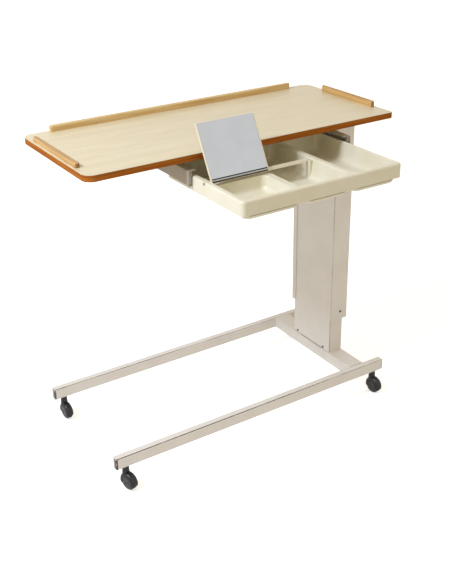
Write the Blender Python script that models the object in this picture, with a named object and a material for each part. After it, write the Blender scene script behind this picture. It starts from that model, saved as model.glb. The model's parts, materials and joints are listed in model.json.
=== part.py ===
"""Over-bed table: castored base, sliding column, cantilevered top, drawer with a mirror lid.

Metres, +Z up. The origin is on the floor under the middle of the tabletop.
+X runs along the top towards the column, and the drawer opens towards -Y.
The table stands as photographed: drawer pulled out, mirror raised and leaning back.
"""
from math import cos, pi, radians, sin

import bmesh
import bpy
from mathutils import Vector

# Fits
SEAT = 0.0003            # gap between pieces that rest on or in each other
RUN = 0.0006             # gap between pieces that slide or turn in each other
CUT_PAST = 0.010         # how far a cutter runs past the face that it opens

# Tabletop: board with a wooden lipping round its edge, under one sheet of laminate
TOP_LENGTH = 0.940
TOP_DEPTH = 0.400
TOP_HEIGHT = 0.903
TOP_THICK = 0.0175
TOP_CORNER = 0.028
LAMINATE_THICK = 0.001   # sheet over the board and the lipping
LIPPING_WIDTH = 0.006
LIPPING_ROUND = 0.0015

# Wooden rails let into the laminate: each stops short of the corners at either end
RAIL_WIDTH = 0.013
RAIL_HEIGHT = 0.018
RAIL_ROUND = 0.005
RAIL_END_ROUND = 0.006
RAIL_INSET = 0.006
BACK_RAIL_ENDS = (0.075, 0.077)
LEFT_RAIL_ENDS = (0.069, 0.063)
RIGHT_RAIL_ENDS = (0.070, 0.098)

# Base: two box legs and a box cross member under the column
LEG_LENGTH = 0.9325
LEG_BEHIND = 0.08885     # legs past the column's middle
LEG_WIDTH = 0.0216
LEG_HEIGHT = 0.0356
LEG_WALL = 0.0015
LEG_UNDERSIDE = 0.0729
LEG_SPREAD = 0.4364      # over the outer faces of both legs
TUBE_CORNER = 0.003      # outside corners of every box tube
CAP_FLANGE = 0.002
CAP_PLUG = 0.014
CROSS_MARGIN = 0.0019    # cross member past the mast on each side
CROSS_WALL = 0.002

# Castors: twin domed wheels under a hood, on a stem that turns in the leg
WHEEL_RADIUS = 0.025
WHEEL_WIDTH = 0.009
WHEEL_SHOULDER = 0.001   # chamfer at the inner face
WHEEL_TREAD = 0.0025     # straight part of the tread, from the inner face
WHEEL_FACE_RADIUS = 0.008
HOOD_WALL = 0.0016
HOOD_CLEARANCE = 0.001
HOOD_DROP = 0.006        # how far the hood reaches below the axle
HOOD_COVER = 0.55        # share of the wheel's dome that the hood covers
WEB_THICK = 0.004
CASTOR_TRAIL = 0.010
CASTOR_INSET = 0.029     # stem from the end of the leg
AXLE_RADIUS = 0.003
STEM_RADIUS = 0.0045
STEM_INSERT = 0.016
BOSS_RADIUS = 0.0095
CASTOR_TURNS = {         # degrees that each castor trails from +X, as it stood
    "near_left": -74.0,
    "near_right": -85.0,
    "far_left": -86.0,
    "far_right": -80.0,
}

# Column: fixed mast with a screwed cover, and the lipped sleeve that slides on it
COLUMN_INSET = 0.086     # its middle from the end of the top
MAST_HEIGHT = 0.5912
MAST_WIDTH = 0.0507
MAST_DEPTH = 0.186
MAST_WALL = 0.002
MAST_LIP = 0.038
SHEET_BEND = 0.002       # inside radius of the folds in the column's sheet
COVER_THICK = 0.002
COVER_CORNER = 0.002
COVER_MARGIN = 0.0006
COVER_FOOT_GAP = 0.003
SLEEVE_LENGTH = 0.6326
SLEEVE_GAP = 0.007       # between the mast and the sleeve
SLEEVE_WALL = 0.002
SLEEVE_LIP = 0.011
SLEEVE_FRONT = 0.005     # how far its lips stand in front of the cover
GUIDE_HEIGHT = 0.030
GUIDE_BEND = 0.0015
GUIDE_CAP_HEIGHT = 0.012
SCREW_RADIUS = 0.0035
SCREW_HEIGHT = 0.0012
COVER_SCREW_RISE = 0.006
COVER_SCREW_INSETS = (0.031, 0.021)
SLEEVE_SCREW_RISE = 0.026

# Locking gas spring inside the mast
CYLINDER_RADIUS = 0.014
CYLINDER_LENGTH = 0.4112
CYLINDER_FLOOR = 0.030
ROD_RADIUS = 0.004
ROD_LENGTH = 0.5906
ROD_HOLE_GAP = 0.008
RELEASE_PIN_RADIUS = 0.002
RELEASE_PIN_INSERT = 0.010
RELEASE_PIN_TRAVEL = 0.010

# Steelwork under the top
ARM_WIDTH = 0.040
ARM_HEIGHT = 0.020
ARM_WALL = 0.0015
ARM_END_INSET = 0.100    # arms from the free end of the top
ARM_Y = 0.075
HEAD_PLATE_THICK = 0.004
HEAD_PLATE_AHEAD = 0.049
HEAD_PLATE_BEHIND = 0.056
HEAD_PLATE_MARGIN = 0.008
HEAD_PLATE_CORNER = 0.006

# Height release lever, reached under the end of the top
LEVER_WIDTH = 0.024
LEVER_THICK = 0.003
LEVER_PIVOT_BEHIND = 0.040
LEVER_INNER = 0.048      # both ends from the pivot
LEVER_OUTER = 0.038
LEVER_BEND = 0.013
LEVER_DROOP = 0.006
LEVER_RISE = 0.0095      # pivot above the head plate
LEVER_HUB_RADIUS = 0.0045
LEVER_PIN_RADIUS = 0.002
BRACKET_WALL = 0.002
BRACKET_BEND = 0.001
BRACKET_EAR = 0.0063     # ears above the pivot
BRACKET_LENGTH = 0.018

# Drawer: moulded tray with a skirt and hanging bowls, as it stands pulled out
DRAWER_WIDTH = 0.490
DRAWER_DEPTH = 0.350
DRAWER_OUT = 0.230       # its front from the edge of the top
DRAWER_DROP = 0.0152     # its rim below the arms
DRAWER_COLUMN_GAP = 0.0225
SKIRT_HEIGHT = 0.038
BOWL_DEPTH = 0.054
TRAY_WALL = 0.003
RIM_WIDTH = 0.010
RIM_LEFT = 0.016         # wider beside the mirror lid
RIM_ROUND = 0.006
MOUTH_ROUND = 0.003      # edges of the compartments
FRONT_CORNER = 0.012
BACK_CORNER = 0.006
POCKET_CORNER = 0.018
POCKET_ROUND = 0.006
POCKET_DRAFT = 0.003
LID_DIVIDER_X = -0.061   # both dividers from the drawer's middle
LID_DIVIDER_WIDTH = 0.016
WIDE_DIVIDER_X = 0.088
WIDE_DIVIDER_WIDTH = 0.018
LID_WALL_FRONT = 0.0057  # faces of the wall under the mirror's axis, from the axis
LID_WALL_BACK = 0.0133
LID_LEDGE = 0.0015
LID_OVERRUN = 0.0035
LID_CORNER = 0.004
LID_CLEARANCE = 0.0023   # under the mirror when it lies shut
SOCKET_WIDTH = 0.020
SOCKET_REACH = 0.020
SOCKET_ROOT = 0.001      # how far it reaches into the divider
SOCKET_CORNER = 0.006
SOCKET_BORE = 0.014
SLOT_CORNER = 0.0005

# Runners hung under the arms, and the steel slides that carry the drawer in them
RUNNER_SIDE_GAP = 0.0095
RUNNER_WALL = 0.002
RUNNER_BEND = 0.001
RUNNER_HEIGHT = 0.040
RUNNER_TOP_FLANGE = 0.022
RUNNER_FOOT_FLANGE = 0.009
RUNNER_LENGTH = 0.358
RUNNER_PROUD = 0.008     # past the front edge of the top
STOP_DROP = 0.0115
STOP_CLEARANCE = 0.0015  # beside the tray
SLIDE_LENGTH = 0.180
SLIDE_CORNER = 0.002
SLIDE_ROUND = 0.001
BACK_BAR_THICK = 0.005
BACK_BAR_HEIGHT = 0.020
BACK_BAR_CORNER = 0.001

# Mirror lid: turns on a flat bar with round ends
MIRROR_LEAN = radians(28.0)
MIRROR_FROM_BACK = 0.182  # axis ahead of the drawer's back edge
MIRROR_DROP = 0.004      # axis below the rim
MIRROR_SIDE_GAP = 0.007
MIRROR_REST = 0.005      # how far it lies on the divider when shut
MIRROR_END_GAP = 0.0085  # room for a finger in front of it
MIRROR_BACK = 0.0022
MIRROR_LIP = 0.003
MIRROR_LIP_HEIGHT = 0.0027
MIRROR_FOOT = 0.004      # how far the back reaches below the axis
GLASS_THICK = 0.002
GLASS_CORNER = 0.002
CLIP_HEIGHT = 0.0065
CLIP_CORNER = 0.0008
BAR_WIDTH = 0.010
BAR_THICK = 0.004
BAR_ROUND = 0.0012
BAR_PIN_RADIUS = 0.0025
BAR_PIN_ROOT = 0.004     # how far each round end reaches into the flat bar
PIVOT_HEAD_RADIUS = 0.0035
PIVOT_HEAD_HEIGHT = 0.0014

# Fineness of the rounds
PLANE_STEPS = 6
EDGE_STEPS = 4
TUBE_STEPS = 3
SMALL_STEPS = 2
DOME_STEPS = 3
CASTOR_SEGMENTS = 20
ROD_SEGMENTS = 12
LEAST_CORNER = 0.2       # a corner drawn in keeps at least this share of its radius
SHARP_ANGLE = radians(35)
MERGE = 1e-6

# Heights, from the floor up
LEG_TOP = LEG_UNDERSIDE + LEG_HEIGHT
MAST_FOOT = LEG_TOP + SEAT
MAST_TOP = MAST_FOOT + MAST_HEIGHT
TOP_UNDERSIDE = TOP_HEIGHT - TOP_THICK
ARM_FOOT = TOP_UNDERSIDE - SEAT - ARM_HEIGHT
HEAD_PLATE_TOP = ARM_FOOT - SEAT
HEAD_PLATE_FOOT = HEAD_PLATE_TOP - HEAD_PLATE_THICK
SLEEVE_TOP = HEAD_PLATE_FOOT - SEAT
RUNNER_TOP = ARM_FOOT - SEAT
DRAWER_RIM = ARM_FOOT - DRAWER_DROP

# Places along and across
COLUMN_X = TOP_LENGTH / 2 - COLUMN_INSET
LEG_ENDS = (COLUMN_X + LEG_BEHIND - LEG_LENGTH, COLUMN_X + LEG_BEHIND)
LEG_Y = (LEG_SPREAD - LEG_WIDTH) / 2
COVER_FACE_X = COLUMN_X - MAST_WIDTH / 2
MAST_FRONT_X = COVER_FACE_X + COVER_THICK + SEAT
MAST_BACK_X = COLUMN_X + MAST_WIDTH / 2
LIPS_X = COVER_FACE_X - SLEEVE_FRONT
SLEEVE_BACK_X = MAST_BACK_X + SLEEVE_GAP + SLEEVE_WALL
SLEEVE_HALF = MAST_DEPTH / 2 + SLEEVE_GAP + SLEEVE_WALL
HEAD_PLATE_SPAN = (COLUMN_X - HEAD_PLATE_AHEAD, COLUMN_X + HEAD_PLATE_BEHIND)
LEVER_PIVOT_X = COLUMN_X + LEVER_PIVOT_BEHIND
DRAWER_SIDE = DRAWER_WIDTH / 2
RUNNER_OUTER = DRAWER_SIDE + RUNNER_SIDE_GAP + RUNNER_WALL
DRAWER_MIDDLE_X = HEAD_PLATE_SPAN[0] - DRAWER_COLUMN_GAP - RUNNER_OUTER
DRAWER_FRONT = -TOP_DEPTH / 2 - DRAWER_OUT
RUNNER_FRONT = -TOP_DEPTH / 2 - RUNNER_PROUD

# Tray, from the middle of its front at rim height
MIRROR_SETBACK = DRAWER_DEPTH - MIRROR_FROM_BACK
BOWL_LEFT = RIM_LEFT - DRAWER_SIDE
BOWL_RIGHT = DRAWER_SIDE - RIM_WIDTH
BOWL_BACK = DRAWER_DEPTH - RIM_WIDTH
LID_EDGES = (LID_DIVIDER_X - LID_DIVIDER_WIDTH / 2, LID_DIVIDER_X + LID_DIVIDER_WIDTH / 2)
WIDE_EDGES = (WIDE_DIVIDER_X - WIDE_DIVIDER_WIDTH / 2, WIDE_DIVIDER_X + WIDE_DIVIDER_WIDTH / 2)
LID_WALL_EDGES = (MIRROR_SETBACK - LID_WALL_FRONT, MIRROR_SETBACK + LID_WALL_BACK)
MIRROR_BACK_FACE = BAR_THICK / 2 + SEAT
LID_RECESS = MIRROR_DROP + MIRROR_BACK_FACE + MIRROR_BACK + MIRROR_LIP_HEIGHT + LID_CLEARANCE
LID_FRONT = RIM_WIDTH + LID_OVERRUN
MIRROR_HEIGHT = MIRROR_SETBACK - LID_FRONT - MIRROR_END_GAP
SOCKET_X = WIDE_EDGES[0] - SOCKET_REACH

FINISHES = {
    "paint": ("#DAD3C7", 0.45, 0.0),
    "steel": ("#A9A79F", 0.35, 1.0),
    "laminate": ("#E2D6B9", 0.40, 0.0),
    "lipping": ("#A0531F", 0.45, 0.0),
    "rail": ("#C9A263", 0.50, 0.0),
    "tray": ("#E6DFC6", 0.40, 0.0),
    "mirror": ("#C2C5C7", 0.05, 1.0),
    "aluminium": ("#B4B2AC", 0.35, 1.0),
    "black": ("#1B1B1C", 0.50, 0.0),
    "rubber": ("#2A2A2B", 0.80, 0.0),
    "nylon": ("#D8D4C8", 0.55, 0.0),
    "cap": ("#CDC6B9", 0.55, 0.0),
}

AXIS_PLACES = {
    "X": lambda a, b, c: (c, a, b),
    "Y": lambda a, b, c: (a, c, b),
    "Z": lambda a, b, c: (a, b, c),
}


def linear(channel):
    """One sRGB channel as the linear value that a shader takes."""
    return channel / 12.92 if channel <= 0.04045 else ((channel + 0.055) / 1.055) ** 2.4


def finish(name, colour, roughness, metallic):
    """A Principled material from an sRGB hex colour."""
    rgb = [linear(int(colour[i:i + 2], 16) / 255) for i in (1, 3, 5)]
    material = bpy.data.materials.new(name)
    material.use_nodes = True
    shader = material.node_tree.nodes["Principled BSDF"]
    shader.inputs["Base Color"].default_value = (*rgb, 1.0)
    shader.inputs["Roughness"].default_value = roughness
    shader.inputs["Metallic"].default_value = metallic
    material.diffuse_color = (*rgb, 1.0)
    return material


def add(name, solid, look, parent=None, location=(0, 0, 0)):
    """Make an object of a finished bmesh, with a material of its own, and place it."""
    mesh = bpy.data.meshes.new(name)
    solid.to_mesh(mesh)
    solid.free()
    thing = bpy.data.objects.new(name, mesh)
    bpy.context.scene.collection.objects.link(thing)
    mesh.materials.append(finish(name, *FINISHES[look]))
    thing.parent = parent
    thing.location = location
    mesh.shade_smooth()
    mesh.set_sharp_from_angle(angle=SHARP_ANGLE)
    return thing


def frame(name, location, parent=None, rotation=(0, 0, 0)):
    """An empty that stands on a joint's axis and carries what moves with it."""
    empty = bpy.data.objects.new(name, None)
    bpy.context.scene.collection.objects.link(empty)
    empty.parent = parent
    empty.location = location
    empty.rotation_euler = rotation
    return empty


def combine(target, solid, operation):
    """Boolean a bmesh, given in the target's own coordinates, with the target."""
    mesh = bpy.data.meshes.new(target.name + "_tool")
    solid.to_mesh(mesh)
    solid.free()
    tool = bpy.data.objects.new(target.name + "_tool", mesh)
    bpy.context.scene.collection.objects.link(tool)
    tool.parent = target
    tool.hide_render = True
    tool.display_type = "WIRE"
    modifier = target.modifiers.new(operation.title(), "BOOLEAN")
    modifier.operation = operation
    modifier.solver = "EXACT"
    modifier.object = tool


def cut(target, solid):
    combine(target, solid, "DIFFERENCE")


def join(target, solid):
    combine(target, solid, "UNION")


def middle_span(middle, size):
    return (middle - size / 2, middle + size / 2)


def grown(a_span, margin):
    return (a_span[0] - margin, a_span[1] + margin)


def span(one, other):
    return (min(one, other), max(one, other))


def rounded(a_span, b_span, corners, steps=PLANE_STEPS):
    """Outline of a rectangle with round corners: one radius, or four from low a, low b round."""
    radii = corners if isinstance(corners, tuple) else (corners,) * 4
    centres = ((a_span[0], b_span[0], 1, 1), (a_span[1], b_span[0], -1, 1),
               (a_span[1], b_span[1], -1, -1), (a_span[0], b_span[1], 1, -1))
    outline = []
    for turn, (radius, (a, b, to_a, to_b)) in enumerate(zip(radii, centres)):
        for k in range(steps + 1):
            angle = pi + (turn + k / steps) * pi / 2
            outline.append((a + radius * (to_a + cos(angle)), b + radius * (to_b + sin(angle))))
    return outline


def tube_section(width, b_span, wall):
    """Outer and inner outlines of a box tube."""
    outer = rounded(middle_span(0, width), b_span, TUBE_CORNER, TUBE_STEPS)
    inner = rounded(middle_span(0, width - 2 * wall), (b_span[0] + wall, b_span[1] - wall),
                    TUBE_CORNER - wall, TUBE_STEPS)
    return outer, inner


def prism(outline, c_span, axis="Z", hole=None):
    """Extrude an outline along an axis. A hole has as many points as the outline."""
    place = AXIS_PLACES[axis]
    solid = bmesh.new()
    outer = [solid.verts.new(place(a, b, c_span[0])) for a, b in outline]
    if hole is None:
        section = [solid.faces.new(outer)]
    else:
        inner = [solid.verts.new(place(a, b, c_span[0])) for a, b in hole]
        around = list(zip(outer, outer[1:] + outer[:1], inner[1:] + inner[:1], inner))
        section = [solid.faces.new(corners) for corners in around]
    swept = bmesh.ops.extrude_face_region(solid, geom=section)["geom"]
    ends = [item for item in swept if isinstance(item, bmesh.types.BMVert)]
    bmesh.ops.translate(solid, verts=ends, vec=Vector(place(0, 0, c_span[1] - c_span[0])))
    bmesh.ops.recalc_face_normals(solid, faces=solid.faces)
    return solid


def loft(rings, axis="Z"):
    """Skin a stack of (outline, height) rings that have as many points each, and cap its ends."""
    place = AXIS_PLACES[axis]
    solid = bmesh.new()
    loops = [[solid.verts.new(place(a, b, height)) for a, b in outline] for outline, height in rings]
    for low, high in zip(loops, loops[1:]):
        for corners in zip(low, low[1:] + low[:1], high[1:] + high[:1], high):
            solid.faces.new(corners)
    solid.faces.new(loops[0])
    solid.faces.new(loops[-1])
    bmesh.ops.recalc_face_normals(solid, faces=solid.faces)
    return solid


def quarter(steps):
    """Cosine and sine of the angles that step through a quarter turn."""
    return [(cos(pi / 2 * k / steps), sin(pi / 2 * k / steps)) for k in range(steps + 1)]


def low_levels(foot, edge, draft, steps):
    """Levels of a solid's low end: its rounded edge, if any, up to the side drawn in by the draft."""
    if not edge:
        return [(foot, draft)]
    return [(foot + edge * (1 - across), draft + edge * (1 - up)) for across, up in quarter(steps)]


def stack(a_span, b_span, corners, levels, axis="Z", steps=PLANE_STEPS):
    """A solid through round-cornered outlines, each at a height and drawn in by an inset."""
    radii = corners if isinstance(corners, tuple) else (corners,) * 4
    rings = []
    for height, inset in levels:
        inner = tuple(max(radius - inset, radius * LEAST_CORNER) for radius in radii)
        a_inner = (a_span[0] + inset, a_span[1] - inset)
        b_inner = (b_span[0] + inset, b_span[1] - inset)
        rings.append((rounded(a_inner, b_inner, inner, steps), height))
    return loft(rings, axis)


def block(a_span, b_span, c_span, corners, low_round=0.0, high_round=0.0, draft=0.0, axis="Z",
          steps=PLANE_STEPS, edge_steps=EDGE_STEPS):
    """A solid with round corners in plan, rounded low and high edges, and sides drawn in downwards."""
    levels = low_levels(c_span[0], low_round, draft, edge_steps)
    if high_round:
        levels += [(c_span[1] - high_round * (1 - up), high_round * (1 - across))
                   for across, up in quarter(edge_steps)]
    else:
        levels.append((c_span[1], 0.0))
    return stack(a_span, b_span, corners, levels, axis, steps)


def turned(profile, axis="Z", middle=(0, 0, 0), segments=ROD_SEGMENTS):
    """Spin a closed (radius, height) profile round an axis through middle."""
    place = AXIS_PLACES[axis]
    centre = Vector(middle)
    solid = bmesh.new()
    points = [solid.verts.new(centre + Vector(place(radius, 0, height))) for radius, height in profile]
    edges = [solid.edges.new(pair) for pair in zip(points, points[1:])]
    if profile[0][0] > 0:
        edges.append(solid.edges.new((points[-1], points[0])))
    bmesh.ops.spin(solid, geom=points + edges, cent=centre, axis=Vector(place(0, 0, 1)),
                   angle=2 * pi, steps=segments, use_merge=True)
    bmesh.ops.remove_doubles(solid, verts=solid.verts, dist=MERGE)
    bmesh.ops.recalc_face_normals(solid, faces=solid.faces)
    return solid


def rod(radius, c_span, axis="Z", middle=(0, 0, 0), segments=ROD_SEGMENTS):
    """A plain cylinder."""
    profile = [(0, c_span[0]), (radius, c_span[0]), (radius, c_span[1]), (0, c_span[1])]
    return turned(profile, axis, middle, segments)


def bent_sheet(line, wall, bend):
    """Closed outline of a sheet folded along the outer line given, with round folds.

    The wall lies on the left of the line, and bend is the radius inside a fold.
    """
    points = [Vector(point) for point in line]
    side = points[1] - points[0]
    outer = [points[0]]
    inner = [points[0] + wall * Vector((-side.y, side.x)).normalized()]
    radius = bend + wall
    for before, corner, after in zip(points, points[1:], points[2:]):
        arriving = (corner - before).normalized()
        leaving = (after - corner).normalized()
        centre = corner - radius * arriving + radius * leaving
        for k in range(TUBE_STEPS + 1):
            angle = pi / 2 * k / TUBE_STEPS
            spoke = -leaving * cos(angle) + arriving * sin(angle)
            outer.append(centre + radius * spoke)
            inner.append(centre + bend * spoke)
    side = points[-1] - points[-2]
    outer.append(points[-1])
    inner.append(points[-1] + wall * Vector((-side.y, side.x)).normalized())
    return [tuple(point) for point in outer + inner[::-1]]


def lipped_channel(front_x, back_x, half, lip, wall):
    """Section of a channel that opens towards -X between two lips."""
    line = [(front_x, -half + lip), (front_x, -half), (back_x, -half),
            (back_x, half), (front_x, half), (front_x, half - lip)]
    return bent_sheet(line, wall, SHEET_BEND)


def clear_scene():
    for thing in list(bpy.data.objects):
        bpy.data.objects.remove(thing, do_unlink=True)


def make_leg(name, side_y):
    """Box tube with a hole for each castor stem, closed by a plug at each end."""
    outer, bore = tube_section(LEG_WIDTH, (0, LEG_HEIGHT), LEG_WALL)
    place = (0, side_y, LEG_UNDERSIDE)
    leg = add("leg_" + name, prism(outer, LEG_ENDS, "X", bore), "paint", location=place)
    plug_gap = LEG_WALL + SEAT
    plug = rounded(middle_span(0, LEG_WIDTH - 2 * plug_gap), (plug_gap, LEG_HEIGHT - plug_gap),
                   TUBE_CORNER - LEG_WALL, TUBE_STEPS)
    for side, end, out in zip(("left", "right"), LEG_ENDS, (-1, 1)):
        stem_x = end - out * CASTOR_INSET
        cut(leg, rod(STEM_RADIUS + RUN, (-CUT_PAST, 2 * LEG_WALL), middle=(stem_x, 0, 0)))
        face = end + out * SEAT
        rings = [(plug, end - out * CAP_PLUG), (plug, face), (outer, face), (outer, face + out * CAP_FLANGE)]
        add(f"leg_cap_{name}_{side}", loft(rings, "X"), "cap", location=place)
        corner = f"{name}_{side}"
        make_castor(corner, stem_x, side_y, CASTOR_TURNS[corner])


def dome(inner_face, clearance, share):
    """Outline of a wheel's domed side, or of its hood that far off, as (radius, across) points."""
    crown = WHEEL_RADIUS - WHEEL_FACE_RADIUS + clearance
    reach = WHEEL_WIDTH - WHEEL_TREAD + clearance
    points = []
    for k in range(DOME_STEPS + 1):
        angle = share * pi / 2 * k / DOME_STEPS
        across = inner_face + WHEEL_TREAD + reach * sin(angle)
        points.append((WHEEL_FACE_RADIUS + crown * cos(angle), across))
    return points


def make_castor(name, stem_x, stem_y, turn):
    """Hood, axle and two wheels on a swivel frame that stands under the stem."""
    swivel = frame("castor_" + name, (stem_x, stem_y, 0), rotation=(0, 0, radians(turn)))
    axle_at = (CASTOR_TRAIL, 0, WHEEL_RADIUS)
    inner_face = WEB_THICK / 2 + RUN
    half_width = inner_face + WHEEL_WIDTH
    shell = dome(inner_face, HOOD_CLEARANCE + HOOD_WALL, HOOD_COVER)
    hood = shell[0][0]
    lip = shell[-1][1]
    section = [(0, -lip)] + [(radius, -across) for radius, across in reversed(shell)] + shell + [(0, lip)]
    body = add("castor_hood_" + name, turned(section, "Y", axle_at, CASTOR_SEGMENTS), "black", swivel)
    cut(body, block(middle_span(CASTOR_TRAIL, 2 * hood + CUT_PAST), middle_span(0, 2 * lip + CUT_PAST),
                    (-CUT_PAST, WHEEL_RADIUS - HOOD_DROP), SEAT, steps=1))
    boss_foot = WHEEL_RADIUS + HOOD_DROP
    collar = LEG_UNDERSIDE - SEAT
    stem_top = LEG_UNDERSIDE + STEM_INSERT
    post = [(0, boss_foot), (BOSS_RADIUS, boss_foot), (BOSS_RADIUS, collar), (STEM_RADIUS, collar),
            (STEM_RADIUS, stem_top), (0, stem_top)]
    join(body, turned(post))
    room = dome(inner_face, HOOD_CLEARANCE, 1.0)
    room = [(0, WEB_THICK / 2), (room[0][0], WEB_THICK / 2)] + room
    room += [(room[-1][0], half_width + CUT_PAST), (0, half_width + CUT_PAST)]
    for side in (-1, 1):
        cut(body, turned([(radius, side * across) for radius, across in room], "Y", axle_at, CASTOR_SEGMENTS))
    cut(body, rod(AXLE_RADIUS + SEAT, middle_span(0, 2 * WEB_THICK), "Y", axle_at))
    add("castor_axle_" + name, rod(AXLE_RADIUS, (-half_width, half_width), "Y"), "steel", swivel, axle_at)
    bore = AXLE_RADIUS + RUN / 2
    outline = [(bore, inner_face), (WHEEL_RADIUS - WHEEL_SHOULDER, inner_face),
               (WHEEL_RADIUS, inner_face + WHEEL_SHOULDER)]
    outline += dome(inner_face, 0.0, 1.0) + [(bore, half_width)]
    for letter, side in (("a", -1), ("b", 1)):
        wheel = [(radius, side * across) for radius, across in outline]
        add(f"castor_wheel_{name}_{letter}", turned(wheel, "Y", segments=CASTOR_SEGMENTS), "rubber", swivel,
            axle_at)


def make_base():
    make_leg("near", -LEG_Y)
    make_leg("far", LEG_Y)
    half = LEG_Y - LEG_WIDTH / 2 - SEAT
    outer, bore = tube_section(MAST_WIDTH + 2 * CROSS_MARGIN, (0, LEG_HEIGHT), CROSS_WALL)
    add("cross_member", prism(outer, (-half, half), "Y", bore), "paint",
        location=(COLUMN_X, 0, LEG_UNDERSIDE))


def make_mast():
    """Lipped channel closed by a screwed cover, with a nylon guide on its top end."""
    half = MAST_DEPTH / 2
    section = lipped_channel(MAST_FRONT_X, MAST_BACK_X, half, MAST_LIP, MAST_WALL)
    add("mast", prism(section, (MAST_FOOT, MAST_TOP)), "paint")
    cover_half = half - COVER_MARGIN
    cover_foot = MAST_FOOT + COVER_FOOT_GAP
    add("mast_cover", block((-cover_half, cover_half), (cover_foot, MAST_TOP),
                            (COVER_FACE_X, COVER_FACE_X + COVER_THICK), COVER_CORNER, axis="X",
                            steps=SMALL_STEPS), "paint")
    screw_y = (COVER_SCREW_INSETS[0] - half, half - COVER_SCREW_INSETS[1])
    for number, y in enumerate(screw_y, 1):
        add(f"cover_screw_{number}", rod(SCREW_RADIUS, (-SCREW_HEIGHT - SEAT, -SEAT), "X"), "steel",
            location=(COVER_FACE_X, y, cover_foot + COVER_SCREW_RISE))
    reach = SLEEVE_GAP - RUN
    cap = rounded((LIPS_X + SLEEVE_WALL + RUN, MAST_BACK_X + reach), (-half - reach, half + reach),
                  SHEET_BEND, TUBE_STEPS)
    cap_foot = MAST_TOP + SEAT
    guide = add("mast_guide_cap", prism(cap, (cap_foot, cap_foot + GUIDE_CAP_HEIGHT)), "nylon")
    cut(guide, rod(ROD_RADIUS + ROD_HOLE_GAP, (MAST_TOP - CUT_PAST, cap_foot + GUIDE_CAP_HEIGHT + CUT_PAST),
                   middle=(COLUMN_X, 0, 0)))
    bore = ROD_RADIUS + RUN
    floor = MAST_FOOT + CYLINDER_FLOOR
    top = MAST_FOOT + CYLINDER_LENGTH
    tube = [(0, MAST_FOOT), (CYLINDER_RADIUS, MAST_FOOT), (CYLINDER_RADIUS, top), (bore, top), (bore, floor),
            (0, floor)]
    add("gas_spring_cylinder", turned(tube), "black", location=(COLUMN_X, 0, 0))


def make_sleeve(carriage):
    """Lipped channel that slides on the mast, its nylon guide, the head plate and the spring's rod."""
    top = SLEEVE_TOP - TOP_UNDERSIDE
    foot = top - SLEEVE_LENGTH
    section = lipped_channel(LIPS_X, SLEEVE_BACK_X, SLEEVE_HALF, SLEEVE_LIP, SLEEVE_WALL)
    add("sleeve", prism(section, (foot, top)), "paint", carriage)
    guide_half = SLEEVE_HALF - SLEEVE_WALL - SEAT
    guide_x = (LIPS_X + SLEEVE_WALL + SHEET_BEND + SEAT, SLEEVE_BACK_X - SLEEVE_WALL - SEAT)
    guide_line = [(guide_x[0], -guide_half), (guide_x[1], -guide_half), (guide_x[1], guide_half),
                  (guide_x[0], guide_half)]
    guide = bent_sheet(guide_line, SLEEVE_GAP - SEAT - RUN, GUIDE_BEND)
    screw_z = foot + SLEEVE_SCREW_RISE
    add("sleeve_guide", prism(guide, middle_span(screw_z, GUIDE_HEIGHT)), "nylon", carriage)
    for name, out in (("front", -1), ("back", 1)):
        add(f"sleeve_screw_{name}", rod(SCREW_RADIUS, span(0, out * SCREW_HEIGHT), "Y"), "steel", carriage,
            (COLUMN_X + SLEEVE_GAP, out * (SLEEVE_HALF + SEAT), screw_z))
    plate_half = SLEEVE_HALF + HEAD_PLATE_MARGIN
    plate_z = (HEAD_PLATE_FOOT - TOP_UNDERSIDE, HEAD_PLATE_TOP - TOP_UNDERSIDE)
    plate = add("head_plate", block(HEAD_PLATE_SPAN, (-plate_half, plate_half), plate_z, HEAD_PLATE_CORNER,
                                    steps=TUBE_STEPS), "paint", carriage)
    bore = RELEASE_PIN_RADIUS + RUN
    cut(plate, rod(bore, (plate_z[0] - CUT_PAST, plate_z[1] + CUT_PAST), middle=(COLUMN_X, 0, 0)))
    rod_foot = top - ROD_LENGTH
    bore_foot = top - RELEASE_PIN_INSERT - RELEASE_PIN_TRAVEL
    stem = [(0, rod_foot), (ROD_RADIUS, rod_foot), (ROD_RADIUS, top), (bore, top), (bore, bore_foot),
            (0, bore_foot)]
    add("gas_spring_rod", turned(stem), "steel", carriage, (COLUMN_X, 0, 0))


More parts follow.
